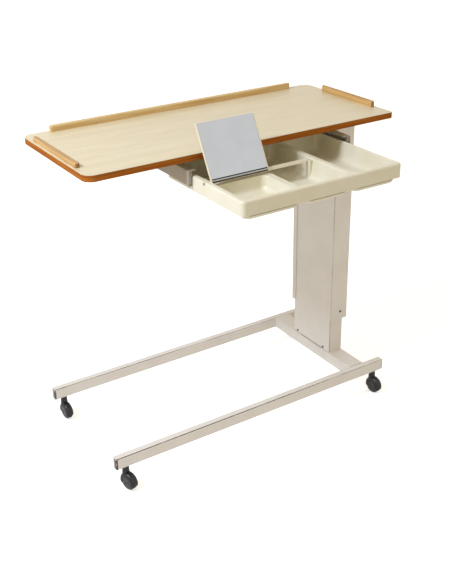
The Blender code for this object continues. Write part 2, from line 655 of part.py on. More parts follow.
def make_lever(carriage):
    """Pressed lever on a bracket: lifting its outer end pushes the spring's release pin down."""
    plate_top = HEAD_PLATE_TOP - TOP_UNDERSIDE
    pivot_at = (LEVER_PIVOT_X, 0, plate_top + LEVER_RISE)
    pivot = frame("lever_pivot", pivot_at, carriage)
    half = LEVER_THICK / 2
    strip = [(-LEVER_INNER, -half), (LEVER_BEND, -half), (LEVER_OUTER, -half - LEVER_DROOP),
             (LEVER_OUTER, half - LEVER_DROOP), (LEVER_BEND, half), (-LEVER_INNER, half)]
    width = middle_span(0, LEVER_WIDTH)
    lever = add("release_lever", prism(strip, width, "Y"), "black", pivot)
    join(lever, rod(LEVER_HUB_RADIUS, width, "Y"))
    cut(lever, rod(LEVER_PIN_RADIUS + RUN / 2, (width[0] - CUT_PAST, width[1] + CUT_PAST), "Y"))
    ear = LEVER_WIDTH / 2 + RUN + BRACKET_WALL
    foot = plate_top + SEAT
    ear_top = plate_top + LEVER_RISE + BRACKET_EAR
    line = [(-ear, ear_top), (-ear, foot), (ear, foot), (ear, ear_top)]
    bracket = add("lever_bracket", prism(bent_sheet(line, BRACKET_WALL, BRACKET_BEND),
                                         middle_span(LEVER_PIVOT_X, BRACKET_LENGTH), "X"), "steel", carriage)
    cut(bracket, rod(LEVER_PIN_RADIUS + SEAT, (-ear - CUT_PAST, ear + CUT_PAST), "Y", pivot_at))
    add("lever_pin", rod(LEVER_PIN_RADIUS, (-ear - SEAT, ear + SEAT), "Y"), "steel", carriage, pivot_at)
    pin_foot = SLEEVE_TOP - TOP_UNDERSIDE - RELEASE_PIN_INSERT
    pin_top = pivot_at[2] - half - SEAT
    add("release_pin", rod(RELEASE_PIN_RADIUS, (pin_foot, pin_top)), "steel", carriage, (COLUMN_X, 0, 0))


def make_top(carriage):
    """Board, lipping, laminate, the three rails let into it and the arms under it."""
    half_x = TOP_LENGTH / 2
    half_y = TOP_DEPTH / 2
    board_x = half_x - LIPPING_WIDTH - SEAT
    board_y = half_y - LIPPING_WIDTH - SEAT
    inner_corner = TOP_CORNER - LIPPING_WIDTH
    laminate_foot = TOP_THICK - LAMINATE_THICK
    board_top = laminate_foot - SEAT
    add("top_board", block((-board_x, board_x), (-board_y, board_y), (0, board_top), inner_corner - SEAT),
        "laminate", carriage)
    edge = block((-half_x, half_x), (-half_y, half_y), (0, board_top), TOP_CORNER, LIPPING_ROUND,
                 edge_steps=SMALL_STEPS)
    lipping = add("top_lipping", edge, "lipping", carriage)
    hole_x = half_x - LIPPING_WIDTH
    hole_y = half_y - LIPPING_WIDTH
    cut(lipping, block((-hole_x, hole_x), (-hole_y, hole_y), (-CUT_PAST, TOP_THICK + CUT_PAST), inner_corner))
    sheet = block((-half_x, half_x), (-half_y, half_y), (laminate_foot, TOP_THICK), TOP_CORNER)
    laminate = add("top_laminate", sheet, "laminate", carriage)
    across = (RAIL_INSET, RAIL_INSET + RAIL_WIDTH)
    rails = {
        "back": ((BACK_RAIL_ENDS[0] - half_x, half_x - BACK_RAIL_ENDS[1]),
                 (half_y - across[1], half_y - across[0])),
        "left": ((across[0] - half_x, across[1] - half_x),
                 (LEFT_RAIL_ENDS[0] - half_y, half_y - LEFT_RAIL_ENDS[1])),
        "right": ((half_x - across[1], half_x - across[0]),
                  (RIGHT_RAIL_ENDS[0] - half_y, half_y - RIGHT_RAIL_ENDS[1])),
    }
    for name, (x_span, y_span) in rails.items():
        rail = block(x_span, y_span, (laminate_foot, TOP_THICK + RAIL_HEIGHT), RAIL_END_ROUND,
                     high_round=RAIL_ROUND, steps=EDGE_STEPS)
        add(f"rail_{name}", rail, "rail", carriage)
        cut(laminate, block(grown(x_span, SEAT), grown(y_span, SEAT),
                            (laminate_foot - CUT_PAST, TOP_THICK + CUT_PAST), RAIL_END_ROUND + SEAT,
                            steps=EDGE_STEPS))
    outer, bore = tube_section(ARM_WIDTH, (-ARM_HEIGHT, 0), ARM_WALL)
    arm_span = (ARM_END_INSET - half_x, HEAD_PLATE_SPAN[1])
    for name, arm_y in (("front", -ARM_Y), ("back", ARM_Y)):
        add(f"top_arm_{name}", prism(outer, arm_span, "X", bore), "paint", carriage, (0, arm_y, -SEAT))


def make_runners(carriage):
    """Bent steel channels under the arms, each with a stop turned down at its front end."""
    top = RUNNER_TOP - TOP_UNDERSIDE
    foot = top - RUNNER_HEIGHT
    inside = RUNNER_OUTER - RUNNER_WALL
    line = [(RUNNER_OUTER - RUNNER_FOOT_FLANGE, foot), (RUNNER_OUTER, foot), (RUNNER_OUTER, top),
            (RUNNER_OUTER - RUNNER_TOP_FLANGE, top)]
    section = bent_sheet(line, RUNNER_WALL, RUNNER_BEND)
    stop_y = (RUNNER_FRONT + SEAT, RUNNER_FRONT + RUNNER_WALL)
    stop_z = (top - RUNNER_WALL - STOP_DROP, top - RUNNER_WALL / 2)
    for name, out in (("left", -1), ("right", 1)):
        outline = [(out * a, b) for a, b in section]
        runner = add(f"runner_{name}", prism(outline, (RUNNER_FRONT, RUNNER_FRONT + RUNNER_LENGTH), "Y"),
                     "paint", carriage, (DRAWER_MIDDLE_X, 0, 0))
        stop_x = span(out * (DRAWER_SIDE + STOP_CLEARANCE), out * (inside - SEAT))
        join(runner, block(stop_x, stop_y, stop_z, SEAT, steps=1))


def pocket(x_span, y_span):
    """Cutter for one compartment: drawn-in sides, round corners, a round floor edge and a round mouth."""
    levels = low_levels(TRAY_WALL - BOWL_DEPTH, POCKET_ROUND, POCKET_DRAFT, EDGE_STEPS)
    levels += [(MOUTH_ROUND * (up - 1), MOUTH_ROUND * (across - 1)) for across, up in quarter(EDGE_STEPS)]
    levels.append((CUT_PAST, -MOUTH_ROUND))
    return stack(x_span, y_span, POCKET_CORNER, levels)


def make_tray(drawer):
    """Moulded tray: hollow rim and skirt, a bowl for each compartment, and the mirror's seat and bearings."""
    corners = (FRONT_CORNER, FRONT_CORNER, BACK_CORNER, BACK_CORNER)
    rim = block((-DRAWER_SIDE, DRAWER_SIDE), (0, DRAWER_DEPTH), (-SKIRT_HEIGHT, 0), corners,
                high_round=RIM_ROUND)
    tray = add("drawer_tray", rim, "tray", drawer)
    skirt_side = DRAWER_SIDE - TRAY_WALL
    cut(tray, block((-skirt_side, skirt_side), (TRAY_WALL, DRAWER_DEPTH - TRAY_WALL),
                    (-SKIRT_HEIGHT - CUT_PAST, -TRAY_WALL), tuple(radius - TRAY_WALL for radius in corners),
                    high_round=RIM_ROUND - TRAY_WALL))
    compartments = (
        ((BOWL_LEFT, LID_EDGES[0]), (RIM_WIDTH, LID_WALL_EDGES[0])),
        ((BOWL_LEFT, LID_EDGES[0]), (LID_WALL_EDGES[1], BOWL_BACK)),
        ((LID_EDGES[1], WIDE_EDGES[0]), (RIM_WIDTH, BOWL_BACK)),
        ((WIDE_EDGES[1], BOWL_RIGHT), (RIM_WIDTH, BOWL_BACK)),
    )
    for x_span, y_span in compartments:
        join(tray, block(grown(x_span, TRAY_WALL), grown(y_span, TRAY_WALL), (-BOWL_DEPTH, -TRAY_WALL / 2),
                         POCKET_CORNER + TRAY_WALL, POCKET_ROUND + TRAY_WALL, draft=POCKET_DRAFT,
                         steps=EDGE_STEPS, edge_steps=SMALL_STEPS))
    lid_x = (BOWL_LEFT - LID_LEDGE, LID_EDGES[1] + LID_OVERRUN)
    lid_y = (LID_FRONT, LID_WALL_EDGES[1] + LID_OVERRUN)
    join(tray, block(grown(lid_x, TRAY_WALL), grown(lid_y, TRAY_WALL),
                     (-LID_RECESS - TRAY_WALL, -TRAY_WALL / 2), LID_CORNER + TRAY_WALL, steps=SMALL_STEPS))
    for x_span, y_span in compartments:
        cut(tray, pocket(x_span, y_span))
    cut(tray, block(lid_x, lid_y, (-LID_RECESS, CUT_PAST), LID_CORNER, steps=SMALL_STEPS))
    join(tray, block((SOCKET_X, WIDE_EDGES[0] + SOCKET_ROOT), middle_span(MIRROR_SETBACK, SOCKET_WIDTH),
                     (TRAY_WALL / 2 - BOWL_DEPTH, SEAT - MIRROR_DROP), SOCKET_CORNER, steps=EDGE_STEPS))
    slot = BAR_PIN_RADIUS + RUN
    cut(tray, block((SOCKET_X - CUT_PAST, SOCKET_X + SOCKET_BORE), middle_span(MIRROR_SETBACK, 2 * slot),
                    (-MIRROR_DROP - slot, CUT_PAST), SLOT_CORNER, steps=1))
    cut(tray, rod(slot, (-DRAWER_SIDE - CUT_PAST, BOWL_LEFT + CUT_PAST), "X",
                  (0, MIRROR_SETBACK, -MIRROR_DROP)))


def make_slides(drawer):
    """Steel slides beside the tray that run in the channels, tied by a bar behind it."""
    floor = RUNNER_TOP - RUNNER_HEIGHT + RUNNER_WALL - DRAWER_RIM + SEAT
    roof = RUNNER_TOP - RUNNER_WALL - DRAWER_RIM - RUN
    front = RUNNER_FRONT + RUNNER_WALL + RUN - DRAWER_FRONT
    for name, out in (("left", -1), ("right", 1)):
        x_span = span(out * (DRAWER_SIDE + SEAT), out * (DRAWER_SIDE + RUNNER_SIDE_GAP - RUN))
        slide = block(x_span, (front, front + SLIDE_LENGTH), (floor, roof), SLIDE_CORNER,
                      SLIDE_ROUND, SLIDE_ROUND, steps=SMALL_STEPS, edge_steps=SMALL_STEPS)
        add(f"drawer_slide_{name}", slide, "steel", drawer)
    bar_side = DRAWER_SIDE - SEAT
    bar_front = DRAWER_DEPTH + SEAT
    add("drawer_back_bar", block((-bar_side, bar_side), (bar_front, bar_front + BACK_BAR_THICK),
                                 (floor, floor + BACK_BAR_HEIGHT), BACK_BAR_CORNER, steps=SMALL_STEPS),
        "steel", drawer)


def make_mirror(drawer):
    """Mirror lid in its own upright frame, whose X axis is the hinge. It faces -Y."""
    hinge = frame("mirror_hinge", (0, MIRROR_SETBACK, -MIRROR_DROP), drawer, (-MIRROR_LEAN, 0, 0))
    left = BOWL_LEFT + MIRROR_SIDE_GAP
    right = LID_EDGES[0] + MIRROR_REST
    panel_face = -MIRROR_BACK_FACE - MIRROR_BACK
    lip_face = panel_face - MIRROR_LIP_HEIGHT
    section = [(left, -MIRROR_BACK_FACE), (right, -MIRROR_BACK_FACE), (right, lip_face),
               (right - MIRROR_LIP, lip_face), (right - MIRROR_LIP, panel_face),
               (left + MIRROR_LIP, panel_face), (left + MIRROR_LIP, lip_face), (left, lip_face)]
    add("mirror_back", prism(section, (-MIRROR_FOOT, MIRROR_HEIGHT)), "tray", hinge)
    inner = (left + MIRROR_LIP + SEAT, right - MIRROR_LIP - SEAT)
    face = panel_face - SEAT
    clip_top = CLIP_HEIGHT - MIRROR_FOOT
    add("mirror_clip", block(inner, (-MIRROR_FOOT, clip_top), (lip_face, face), CLIP_CORNER, axis="Y",
                             steps=SMALL_STEPS), "aluminium", hinge)
    add("mirror_glass", block(inner, (clip_top + SEAT, MIRROR_HEIGHT), (face - GLASS_THICK, face),
                              GLASS_CORNER, axis="Y", steps=SMALL_STEPS), "mirror", hinge)
    bar_ends = (BOWL_LEFT + 2 * RUN, SOCKET_X - RUN)
    bar = add("mirror_bar", block(middle_span(0, BAR_THICK), middle_span(0, BAR_WIDTH), bar_ends, BAR_ROUND,
                                  axis="X", steps=SMALL_STEPS), "tray", hinge)
    pin_ends = (-DRAWER_SIDE - SEAT, SOCKET_X + SOCKET_BORE - RUN)
    join(bar, rod(BAR_PIN_RADIUS, (pin_ends[0], bar_ends[0] + BAR_PIN_ROOT), "X"))
    join(bar, rod(BAR_PIN_RADIUS, (bar_ends[1] - BAR_PIN_ROOT, pin_ends[1]), "X"))
    head_face = pin_ends[0] - SEAT
    add("mirror_pivot_head", rod(PIVOT_HEAD_RADIUS, (head_face - PIVOT_HEAD_HEIGHT, head_face), "X"), "black",
        hinge)


def main():
    clear_scene()
    make_base()
    make_mast()
    carriage = frame("height_slide", (0, 0, TOP_UNDERSIDE))
    make_sleeve(carriage)
    make_lever(carriage)
    make_top(carriage)
    make_runners(carriage)
    drawer = frame("drawer_slide", (DRAWER_MIDDLE_X, DRAWER_FRONT, DRAWER_RIM - TOP_UNDERSIDE), carriage)
    make_tray(drawer)
    make_slides(drawer)
    make_mirror(drawer)


main()
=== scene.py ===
# %% [markdown]
# # An over-bed table, dressed for its photograph
#
# The real table is a tabletop on a telescopic column, with a wheeled base and a drawer that holds a mirror.
# The engineering model gives every piece its place and size. It could be rendered as it is, but its edges are
# sharp and its surfaces plain. So this script loads it as a fixed frame, models the pieces that show once
# more, gives each surface a material made of nodes, and sets up the photograph's camera and light.

# %% Load the frame
import json
from math import cos, pi, radians, sin

import bmesh
import bpy
from mathutils import Matrix, Vector


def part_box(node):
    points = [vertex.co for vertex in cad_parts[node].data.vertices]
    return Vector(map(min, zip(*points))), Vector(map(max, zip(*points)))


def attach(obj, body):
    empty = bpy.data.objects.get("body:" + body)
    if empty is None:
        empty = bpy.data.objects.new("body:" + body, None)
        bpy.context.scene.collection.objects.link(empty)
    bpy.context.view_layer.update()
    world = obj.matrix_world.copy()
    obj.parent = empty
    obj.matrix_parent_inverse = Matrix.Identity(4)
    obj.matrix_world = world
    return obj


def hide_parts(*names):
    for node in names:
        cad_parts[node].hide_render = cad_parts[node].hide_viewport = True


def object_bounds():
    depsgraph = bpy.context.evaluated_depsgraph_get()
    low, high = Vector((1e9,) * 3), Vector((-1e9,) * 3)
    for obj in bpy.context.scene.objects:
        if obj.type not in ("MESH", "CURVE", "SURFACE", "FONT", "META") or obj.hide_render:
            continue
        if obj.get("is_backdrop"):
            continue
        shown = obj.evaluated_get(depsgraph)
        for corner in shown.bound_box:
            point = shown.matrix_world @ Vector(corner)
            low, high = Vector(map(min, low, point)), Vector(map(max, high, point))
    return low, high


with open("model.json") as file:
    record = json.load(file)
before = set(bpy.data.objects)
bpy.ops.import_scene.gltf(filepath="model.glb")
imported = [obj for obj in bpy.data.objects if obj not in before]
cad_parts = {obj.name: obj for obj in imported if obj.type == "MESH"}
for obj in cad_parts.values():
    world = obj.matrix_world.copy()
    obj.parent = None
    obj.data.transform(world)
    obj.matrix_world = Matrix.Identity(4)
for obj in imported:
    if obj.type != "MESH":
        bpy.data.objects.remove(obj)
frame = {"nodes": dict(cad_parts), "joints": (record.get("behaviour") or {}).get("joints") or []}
cad_box = [list(corner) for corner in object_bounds()]
nodes = frame["nodes"]
joints = {joint["name"]: joint for joint in frame["joints"]}
print(f"Loaded {len(nodes)} nodes and {len(joints)} joints")

# %% [markdown]
# ## Camera
#
# The photograph was taken from the table's left front, from above. A camera could be set by eye, but then few
# edges would fall where they do in the picture. So it was fitted to the corners of the tabletop, the legs and
# the column: where it stands, which way it looks, how far it is rolled, and its focal length in pixels.

# %% Camera
PICTURE_SIZE = (450, 563)
FOCAL_PIXELS = 918.19
SENSOR = 36.0
CAMERA_AT = Vector((-1.2713, -2.0746, 1.6061))
AZIMUTH = radians(-32.097)
ELEVATION = radians(25.900)
ROLL = radians(-1.105)

back = Vector((sin(AZIMUTH) * cos(ELEVATION), -cos(AZIMUTH) * cos(ELEVATION), sin(ELEVATION)))
level = Vector((cos(AZIMUTH), sin(AZIMUTH), 0.0))
upright = back.cross(level)
right = cos(ROLL) * level + sin(ROLL) * upright
up = cos(ROLL) * upright - sin(ROLL) * level

bpy.ops.object.select_all(action="DESELECT")
bpy.ops.object.camera_add()
camera = bpy.context.object
camera.name = "camera"
camera.matrix_world = Matrix.Translation(CAMERA_AT) @ Matrix((right, up, back)).transposed().to_4x4()
camera.data.sensor_width = SENSOR
camera.data.lens = FOCAL_PIXELS * SENSOR / max(PICTURE_SIZE)
scene = bpy.context.scene
scene.camera = camera
scene.view_settings.view_transform = "Standard"
print(f"Camera with a {camera.data.lens:.1f} mm lens")

# %% [markdown]
# ## Nodes
#
# A material could be put together by hand in the shader editor. Written as code, it comes out the same on
# every run. One function adds any node. Every pattern reads the object's own coordinates, so that it stays on
# its piece, and its size is given in millimetres, as it would be measured on the real surface.

# %% Colours, nodes and materials
MM_PER_METRE = 1000
FACTOR, FIRST, SECOND = 0, 6, 7                 # sockets of a Mix node that mixes colours
MIX_COLOURS = {"data_type": "RGBA", "out": 2}


def colour(code):
    """A hex sRGB colour as the linear RGBA that a shader takes."""
    channels = [int(code[k:k + 2], 16) / 255 for k in (1, 3, 5)]
    return [c / 12.92 if c <= 0.04045 else ((c + 0.055) / 1.055) ** 2.4 for c in channels] + [1.0]


def add_node(tree, kind, inputs=(), out=0, stops=(), **settings):
    """Add a node with its settings, ramp stops and inputs, each a link or a value, and return an output."""
    new = tree.nodes.new("ShaderNode" + kind)
    for name, value in settings.items():
        setattr(new, name, value)
    for k, (position, shade) in enumerate(stops):
        elements = new.color_ramp.elements
        element = elements[k] if k < len(elements) else elements.new(position)
        element.position = position
        element.color = colour(shade) if isinstance(shade, str) else (shade, shade, shade, 1.0)
    for key, value in dict(inputs).items():
        if isinstance(value, bpy.types.NodeSocket):
            tree.links.new(value, new.inputs[key])
        else:
            new.inputs[key].default_value = colour(value) if isinstance(value, str) else value
    return new.outputs[out]


def pattern(tree, mm, stretch=(1, 1, 1), detail=3.0, seed=0.0):
    """A cloudy pattern with features of a real size in millimetres, longer along a stretched axis."""
    scale = [MM_PER_METRE / (mm * longer) for longer in stretch]
    position = add_node(tree, "TexCoord", out="Object")
    mapped = add_node(tree, "Mapping", {"Vector": position, "Location": (seed, seed, seed), "Scale": scale})
    return add_node(tree, "TexNoise", {"Vector": mapped, "Scale": 1.0, "Detail": detail}, out="Fac")


def material(name, make, *choices, constants=()):
    """A material. Make adds its nodes and returns what feeds the shader. Constants are the same all over."""
    new = bpy.data.materials.new(name)
    new.use_nodes = True
    tree = new.node_tree
    shader = tree.nodes["Principled BSDF"]
    for key, value in dict(constants).items():
        shader.inputs[key].default_value = value
    for key, value in make(tree, *choices).items():
        tree.links.new(value, shader.inputs[key])
    print(f"Material {name} with {len(tree.nodes)} nodes")
    return new


# %% [markdown]
# ## Wear
#
# Years of knocks have chipped the paint brown along its arrises. A Geometry node's pointiness could find
# them, but it depends on how finely a mesh is divided. So each worn piece carries a mask, painted face by
# face, that says where its arrises are, and the material breaks that mask up into chips.

# %% Chips along the arrises
CHIP_BROWN = "#463829"


def worn(tree, paint):
    """Paint with brown chips where the wear mask says so, most of them towards the table's left end."""
    # A chip is a few millimetres across, and chips come in stretches of about 70 mm.
    flakes = add_node(tree, "ValToRGB", {"Fac": pattern(tree, 9, detail=5.0, seed=7.0)},
                      stops=[(0.26, 0.0), (0.42, 1.0)])
    stretches = add_node(tree, "ValToRGB", {"Fac": pattern(tree, 70, detail=2.0, seed=2.0)},
                         stops=[(0.34, 0.45), (0.56, 1.0)])
    along = add_node(tree, "SeparateXYZ", {0: add_node(tree, "TexCoord", out="Object")}, out="X")
    leftward = add_node(tree, "MapRange", {"Value": along, "From Min": -0.46, "From Max": 0.47,
                                           "To Min": 1.0, "To Max": 0.25})
    mask = add_node(tree, "Attribute", out="Fac", attribute_name="wear")
    chips = add_node(tree, "Math", {0: mask, 1: flakes}, operation="MULTIPLY")
    places = add_node(tree, "Math", {0: stretches, 1: leftward}, operation="MULTIPLY")
    chips = add_node(tree, "Math", {0: chips, 1: places}, operation="MULTIPLY")
    return add_node(tree, "Mix", {FACTOR: chips, FIRST: paint, SECOND: CHIP_BROWN}, **MIX_COLOURS)


# %% [markdown]
# ## Painted steel and bare metal
#
# Legs, cross member and column are steel with a warm white stove enamel, sprayed on and baked. A flat colour
# would look like paper. The baked coat is slightly uneven in gloss and has a faint orange peel, and that is
# what makes it read as paint. Small hidden parts have a plainer enamel or are plated, and the runners' enamel
# is painted darker as shade, for the shadow under the top. The mirror's clip is unpainted aluminium, with
# painted shade along its foot.

# %% Enamels
def stove_enamel(tree):
    """Baked enamel: satin, a little blotchy, with specks of dirt and an orange peel."""
    patches = pattern(tree, 90)
    paint = add_node(tree, "ValToRGB", {"Fac": patches}, stops=[(0.32, "#DDD7CD"), (0.68, "#E3DED5")])
    specks = add_node(tree, "ValToRGB", {"Fac": pattern(tree, 4, seed=3.0)},
                      stops=[(0.64, 0.0), (0.74, 0.22)])
    paint = add_node(tree, "Mix", {FACTOR: specks, FIRST: paint, SECOND: "#BDB4A4"}, **MIX_COLOURS)
    # Real orange peel is finer. It is drawn at 1.6 mm so that it shows.
    peel = pattern(tree, 1.6, detail=1.0)
    return {"Base Color": worn(tree, paint),
            "Roughness": add_node(tree, "ValToRGB", {"Fac": patches}, stops=[(0.3, 0.36), (0.7, 0.48)]),
            "Normal": add_node(tree, "Bump", {"Height": peel, "Distance": 0.00006})}


def plain_enamel(tree, dark, light):
    """Enamel on parts that are seldom touched: the same coat without chips."""
    patches = pattern(tree, 30)
    peel = pattern(tree, 1.4, detail=1.0)       # drawn coarser than it is, as on the stove enamel
    return {"Base Color": add_node(tree, "ValToRGB", {"Fac": patches}, stops=[(0.3, dark), (0.7, light)]),
            "Roughness": add_node(tree, "ValToRGB", {"Fac": patches}, stops=[(0.3, 0.34), (0.7, 0.5)]),
            "Normal": add_node(tree, "Bump", {"Height": peel, "Distance": 0.00005})}


enamel = material("stove_enamel", stove_enamel)
# Painted shade: the runners' enamel is made darker, for the shadow that the tabletop casts on them.
shade_darkened_enamel = material("shade_darkened_enamel", plain_enamel, "#988C78", "#A39784")
dark_enamel = material("black_enamel", plain_enamel, "#18181A", "#232325")

# %% Metals
METAL = {"Metallic": 1.0}


def plated_steel(tree, dark, light):
    """Zinc-plated or blackened steel: cloudy, with drawing marks along the table."""
    clouds = pattern(tree, 12, detail=4.0)
    marks = pattern(tree, 0.8, (8, 1, 1))       # real drawing marks are finer than these
    return {"Base Color": add_node(tree, "ValToRGB", {"Fac": clouds}, stops=[(0.3, dark), (0.7, light)]),
            "Roughness": add_node(tree, "ValToRGB", {"Fac": clouds}, stops=[(0.3, 0.28), (0.7, 0.46)]),
            "Normal": add_node(tree, "Bump", {"Height": marks, "Distance": 0.00002})}


def mill_aluminium(tree):
    """Aluminium as it leaves the press: long fine lines, and painted shade where the mask says so."""
    lines = pattern(tree, 0.4, (120, 1, 1))     # the real lines are too fine to show
    metal = add_node(tree, "ValToRGB", {"Fac": lines}, stops=[(0.3, "#9C9A95"), (0.7, "#B9B7B1")])
    # Painted shade: a mask darkens the clip's lower part, for the shadow under the mirror's foot.
    painted_shade = add_node(tree, "Attribute", out="Fac", attribute_name="painted_shade")
    metal = add_node(tree, "Mix", {FACTOR: painted_shade, FIRST: metal, SECOND: "#2B2620"}, **MIX_COLOURS)
    return {"Base Color": metal,
            "Roughness": add_node(tree, "ValToRGB", {"Fac": lines}, stops=[(0.3, 0.32), (0.7, 0.44)]),
            "Normal": add_node(tree, "Bump", {"Height": lines, "Distance": 0.00002})}


steel = material("plated_steel", plated_steel, "#8F8C84", "#B4B1A8", constants=METAL)
screw_steel = material("blackened_steel", plated_steel, "#3B3833", "#57524B", constants=METAL)
aluminium = material("mill_aluminium", mill_aluminium, constants=METAL)

# %% [markdown]
# ## Wood and laminate
#
# The top is faced with laminate, a printed sheet with a pale wood grain. Its edge has a lipping of wood with
# an orange brown stain, and the rails on it are varnished wood. A picture of wood could be laid over them,
# but it would repeat and blur. Patterns that are stretched along the grain give bands, streaks and pores of
# their own.

# %% Laminate and lipping
LAMINATE_GRAIN = (16, 1, 1)
LIPPING_GRAIN = (40, 40, 1)                     # along whichever side of the top it is on


def wood_laminate(tree):
    """Printed laminate: smooth and satin, with broad bands, narrow streaks and fine pores."""
    bands = pattern(tree, 30, (9, 1, 1), detail=4.0, seed=1.0)
    sheet = add_node(tree, "ValToRGB", {"Fac": bands}, stops=[(0.30, "#D2C4A1"), (0.70, "#DCCFAE")])
    streaks = add_node(tree, "ValToRGB", {"Fac": pattern(tree, 4.5, (18, 1, 1), detail=5.0, seed=4.0)},
                       stops=[(0.48, 0.0), (0.74, 0.40)])
    sheet = add_node(tree, "Mix", {FACTOR: streaks, FIRST: sheet, SECOND: "#C3B186"}, **MIX_COLOURS)
    grain = pattern(tree, 0.9, LAMINATE_GRAIN, seed=9.0)        # printed pores are finer than this
    pores = add_node(tree, "ValToRGB", {"Fac": grain}, stops=[(0.62, 0.0), (0.74, 0.30)])
    sheet = add_node(tree, "Mix", {FACTOR: pores, FIRST: sheet, SECOND: "#AD996D"}, **MIX_COLOURS)
    return {"Base Color": sheet,
            "Roughness": add_node(tree, "ValToRGB", {"Fac": bands}, stops=[(0.3, 0.34), (0.7, 0.42)]),
            "Normal": add_node(tree, "Bump", {"Height": grain, "Distance": 0.00003})}


def stained_lipping(tree):
    """Stained wood: the stain sinks into the pores, and hardly any gloss is left on it."""
    bands = pattern(tree, 4.5, LIPPING_GRAIN, detail=4.0)
    stain = add_node(tree, "ValToRGB", {"Fac": bands},
                     stops=[(0.30, "#8B4B1B"), (0.55, "#A46023"), (0.75, "#B5732F")])
    pores = add_node(tree, "ValToRGB", {"Fac": pattern(tree, 0.8, LIPPING_GRAIN, seed=5.0)},
                     stops=[(0.60, 0.0), (0.72, 0.5)])
    stain = add_node(tree, "Mix", {FACTOR: pores, FIRST: stain, SECOND: "#5E2C0F"}, **MIX_COLOURS)
    return {"Base Color": stain,
            "Roughness": add_node(tree, "ValToRGB", {"Fac": bands}, stops=[(0.3, 0.36), (0.7, 0.5)]),
            "Normal": add_node(tree, "Bump", {"Height": bands, "Distance": 0.00008})}


laminate = material("wood_grain_laminate", wood_laminate)
lipping_wood = material("stained_lipping", stained_lipping, constants={"Specular IOR Level": 0.01})

# %% Rail wood
ALONG_THE_TOP = (40, 1, 1)
ACROSS_THE_TOP = (1, 40, 1)


def rail_wood(tree, grain, dark, middle, light):
    """Varnished wood: bands 4 mm wide, a few knots, darker end grain, painted shade on a side rail's top, and
    a painted highlight on the back rail's top.
    """
    bands = pattern(tree, 4, grain, detail=5.0, seed=2.0)
    wood = add_node(tree, "ValToRGB", {"Fac": bands}, stops=[(0.28, dark), (0.52, middle), (0.75, light)])
    knots = add_node(tree, "ValToRGB", {"Fac": pattern(tree, 18, detail=1.0, seed=11.0)},
                     stops=[(0.70, 0.0), (0.78, 0.8)])
    wood = add_node(tree, "Mix", {FACTOR: knots, FIRST: wood, SECOND: "#7A4F22"}, **MIX_COLOURS)
    # The masks darken the end grain, paint shade on the side rails' tops and paint a highlight on the back
    # rail's top.
    for mask, share, tone in (("end_grain_and_top_shade", 0.75, "#7E5426"), ("painted_top_highlight", 0.3, "#D8CBB0")):
        painted = add_node(tree, "Attribute", out="Fac", attribute_name=mask)
        cover = add_node(tree, "Math", {0: painted, 1: share}, operation="MULTIPLY")
        wood = add_node(tree, "Mix", {FACTOR: cover, FIRST: wood, SECOND: tone}, **MIX_COLOURS)
    return {"Base Color": wood,
            "Roughness": add_node(tree, "ValToRGB", {"Fac": bands}, stops=[(0.3, 0.38), (0.7, 0.52)]),
            "Normal": add_node(tree, "Bump", {"Height": bands, "Distance": 0.00012})}


rail_wood_x = material("rail_wood_along_the_top", rail_wood, ALONG_THE_TOP, "#BC9254", "#CFAD70", "#DEC593")
rail_wood_y = material("rail_wood_across_the_top", rail_wood, ACROSS_THE_TOP, "#A67A40", "#C29A5C", "#D6B77E")

# %% [markdown]
# ## Plastics, rubber and glass
#
# The tray and the mirror's back are moulded in cream plastic, the castors' hoods in black nylon, and the
# guides in natural nylon. A mould leaves a faint satin texture, which softens the highlights. The wheels have
# dusty treads. The mirror could be a layer of glass over silver, but one metal with a little haze and some
# scratches looks the same and renders faster.

# %% Plastics
def moulded_plastic(tree, dark, light, texture):
    """Moulded plastic: satin, even in colour, with painted shade or chips where a mask says so."""
    patches = pattern(tree, 50, detail=2.0)
    plastic = add_node(tree, "ValToRGB", {"Fac": patches}, stops=[(0.3, dark), (0.7, light)])
    # Painted shade: a mask darkens the tray's bowls just below the skirt.
    painted_shade = add_node(tree, "Attribute", out="Fac", attribute_name="painted_shade")
    plastic = add_node(tree, "Mix", {FACTOR: painted_shade, FIRST: plastic, SECOND: "#6E6345"}, **MIX_COLOURS)
    satin = pattern(tree, texture, detail=1.0)  # about 1 mm, drawn coarser than a mould's texture
    return {"Base Color": worn(tree, plastic),
            "Roughness": add_node(tree, "ValToRGB", {"Fac": patches}, stops=[(0.3, 0.30), (0.7, 0.40)]),
            "Normal": add_node(tree, "Bump", {"Height": satin, "Distance": 0.00003})}


cream_plastic = material("cream_moulded_plastic", moulded_plastic, "#DBD4BA", "#E0DAC3", 1.1)
black_nylon = material("black_nylon", moulded_plastic, "#101011", "#1A1A1B", 1.2)
natural_nylon = material("natural_nylon", moulded_plastic, "#D6D1C4", "#E0DBCF", 1.0)
pale_cap = material("pale_end_cap", moulded_plastic, "#DAD3C7", "#E2DCD1", 1.0)


# %% Mirror glass and tread
def silvered_glass(tree):
    """Silvered glass: a near mirror, hazy and scratched, with painted shade along its foot for the gap above
    the clip.
    """
    haze = pattern(tree, 60, detail=2.0)
    silver = add_node(tree, "ValToRGB", {"Fac": haze}, stops=[(0.3, "#C1C2C3"), (0.7, "#C6C7C8")])
    # Real scratches are hair thin. They are drawn about 1 mm wide so that they show.
    scratches = add_node(tree, "ValToRGB", {"Fac": pattern(tree, 1.1, (25, 1, 4), seed=6.0)},
                         stops=[(0.70, 0.0), (0.76, 0.5)])
    silver = add_node(tree, "Mix", {FACTOR: scratches, FIRST: silver, SECOND: "#DDDFDF"}, **MIX_COLOURS)
    # Painted shade: a mask darkens the glass along its foot, for the gap between glass and clip.
    gap_shade = add_node(tree, "Attribute", out="Fac", attribute_name="painted_gap_shade")
    silver = add_node(tree, "Mix", {FACTOR: gap_shade, FIRST: silver, SECOND: "#26241F"}, **MIX_COLOURS)
    return {"Base Color": silver,
            "Roughness": add_node(tree, "ValToRGB", {"Fac": haze}, stops=[(0.3, 0.04), (0.7, 0.10)])}


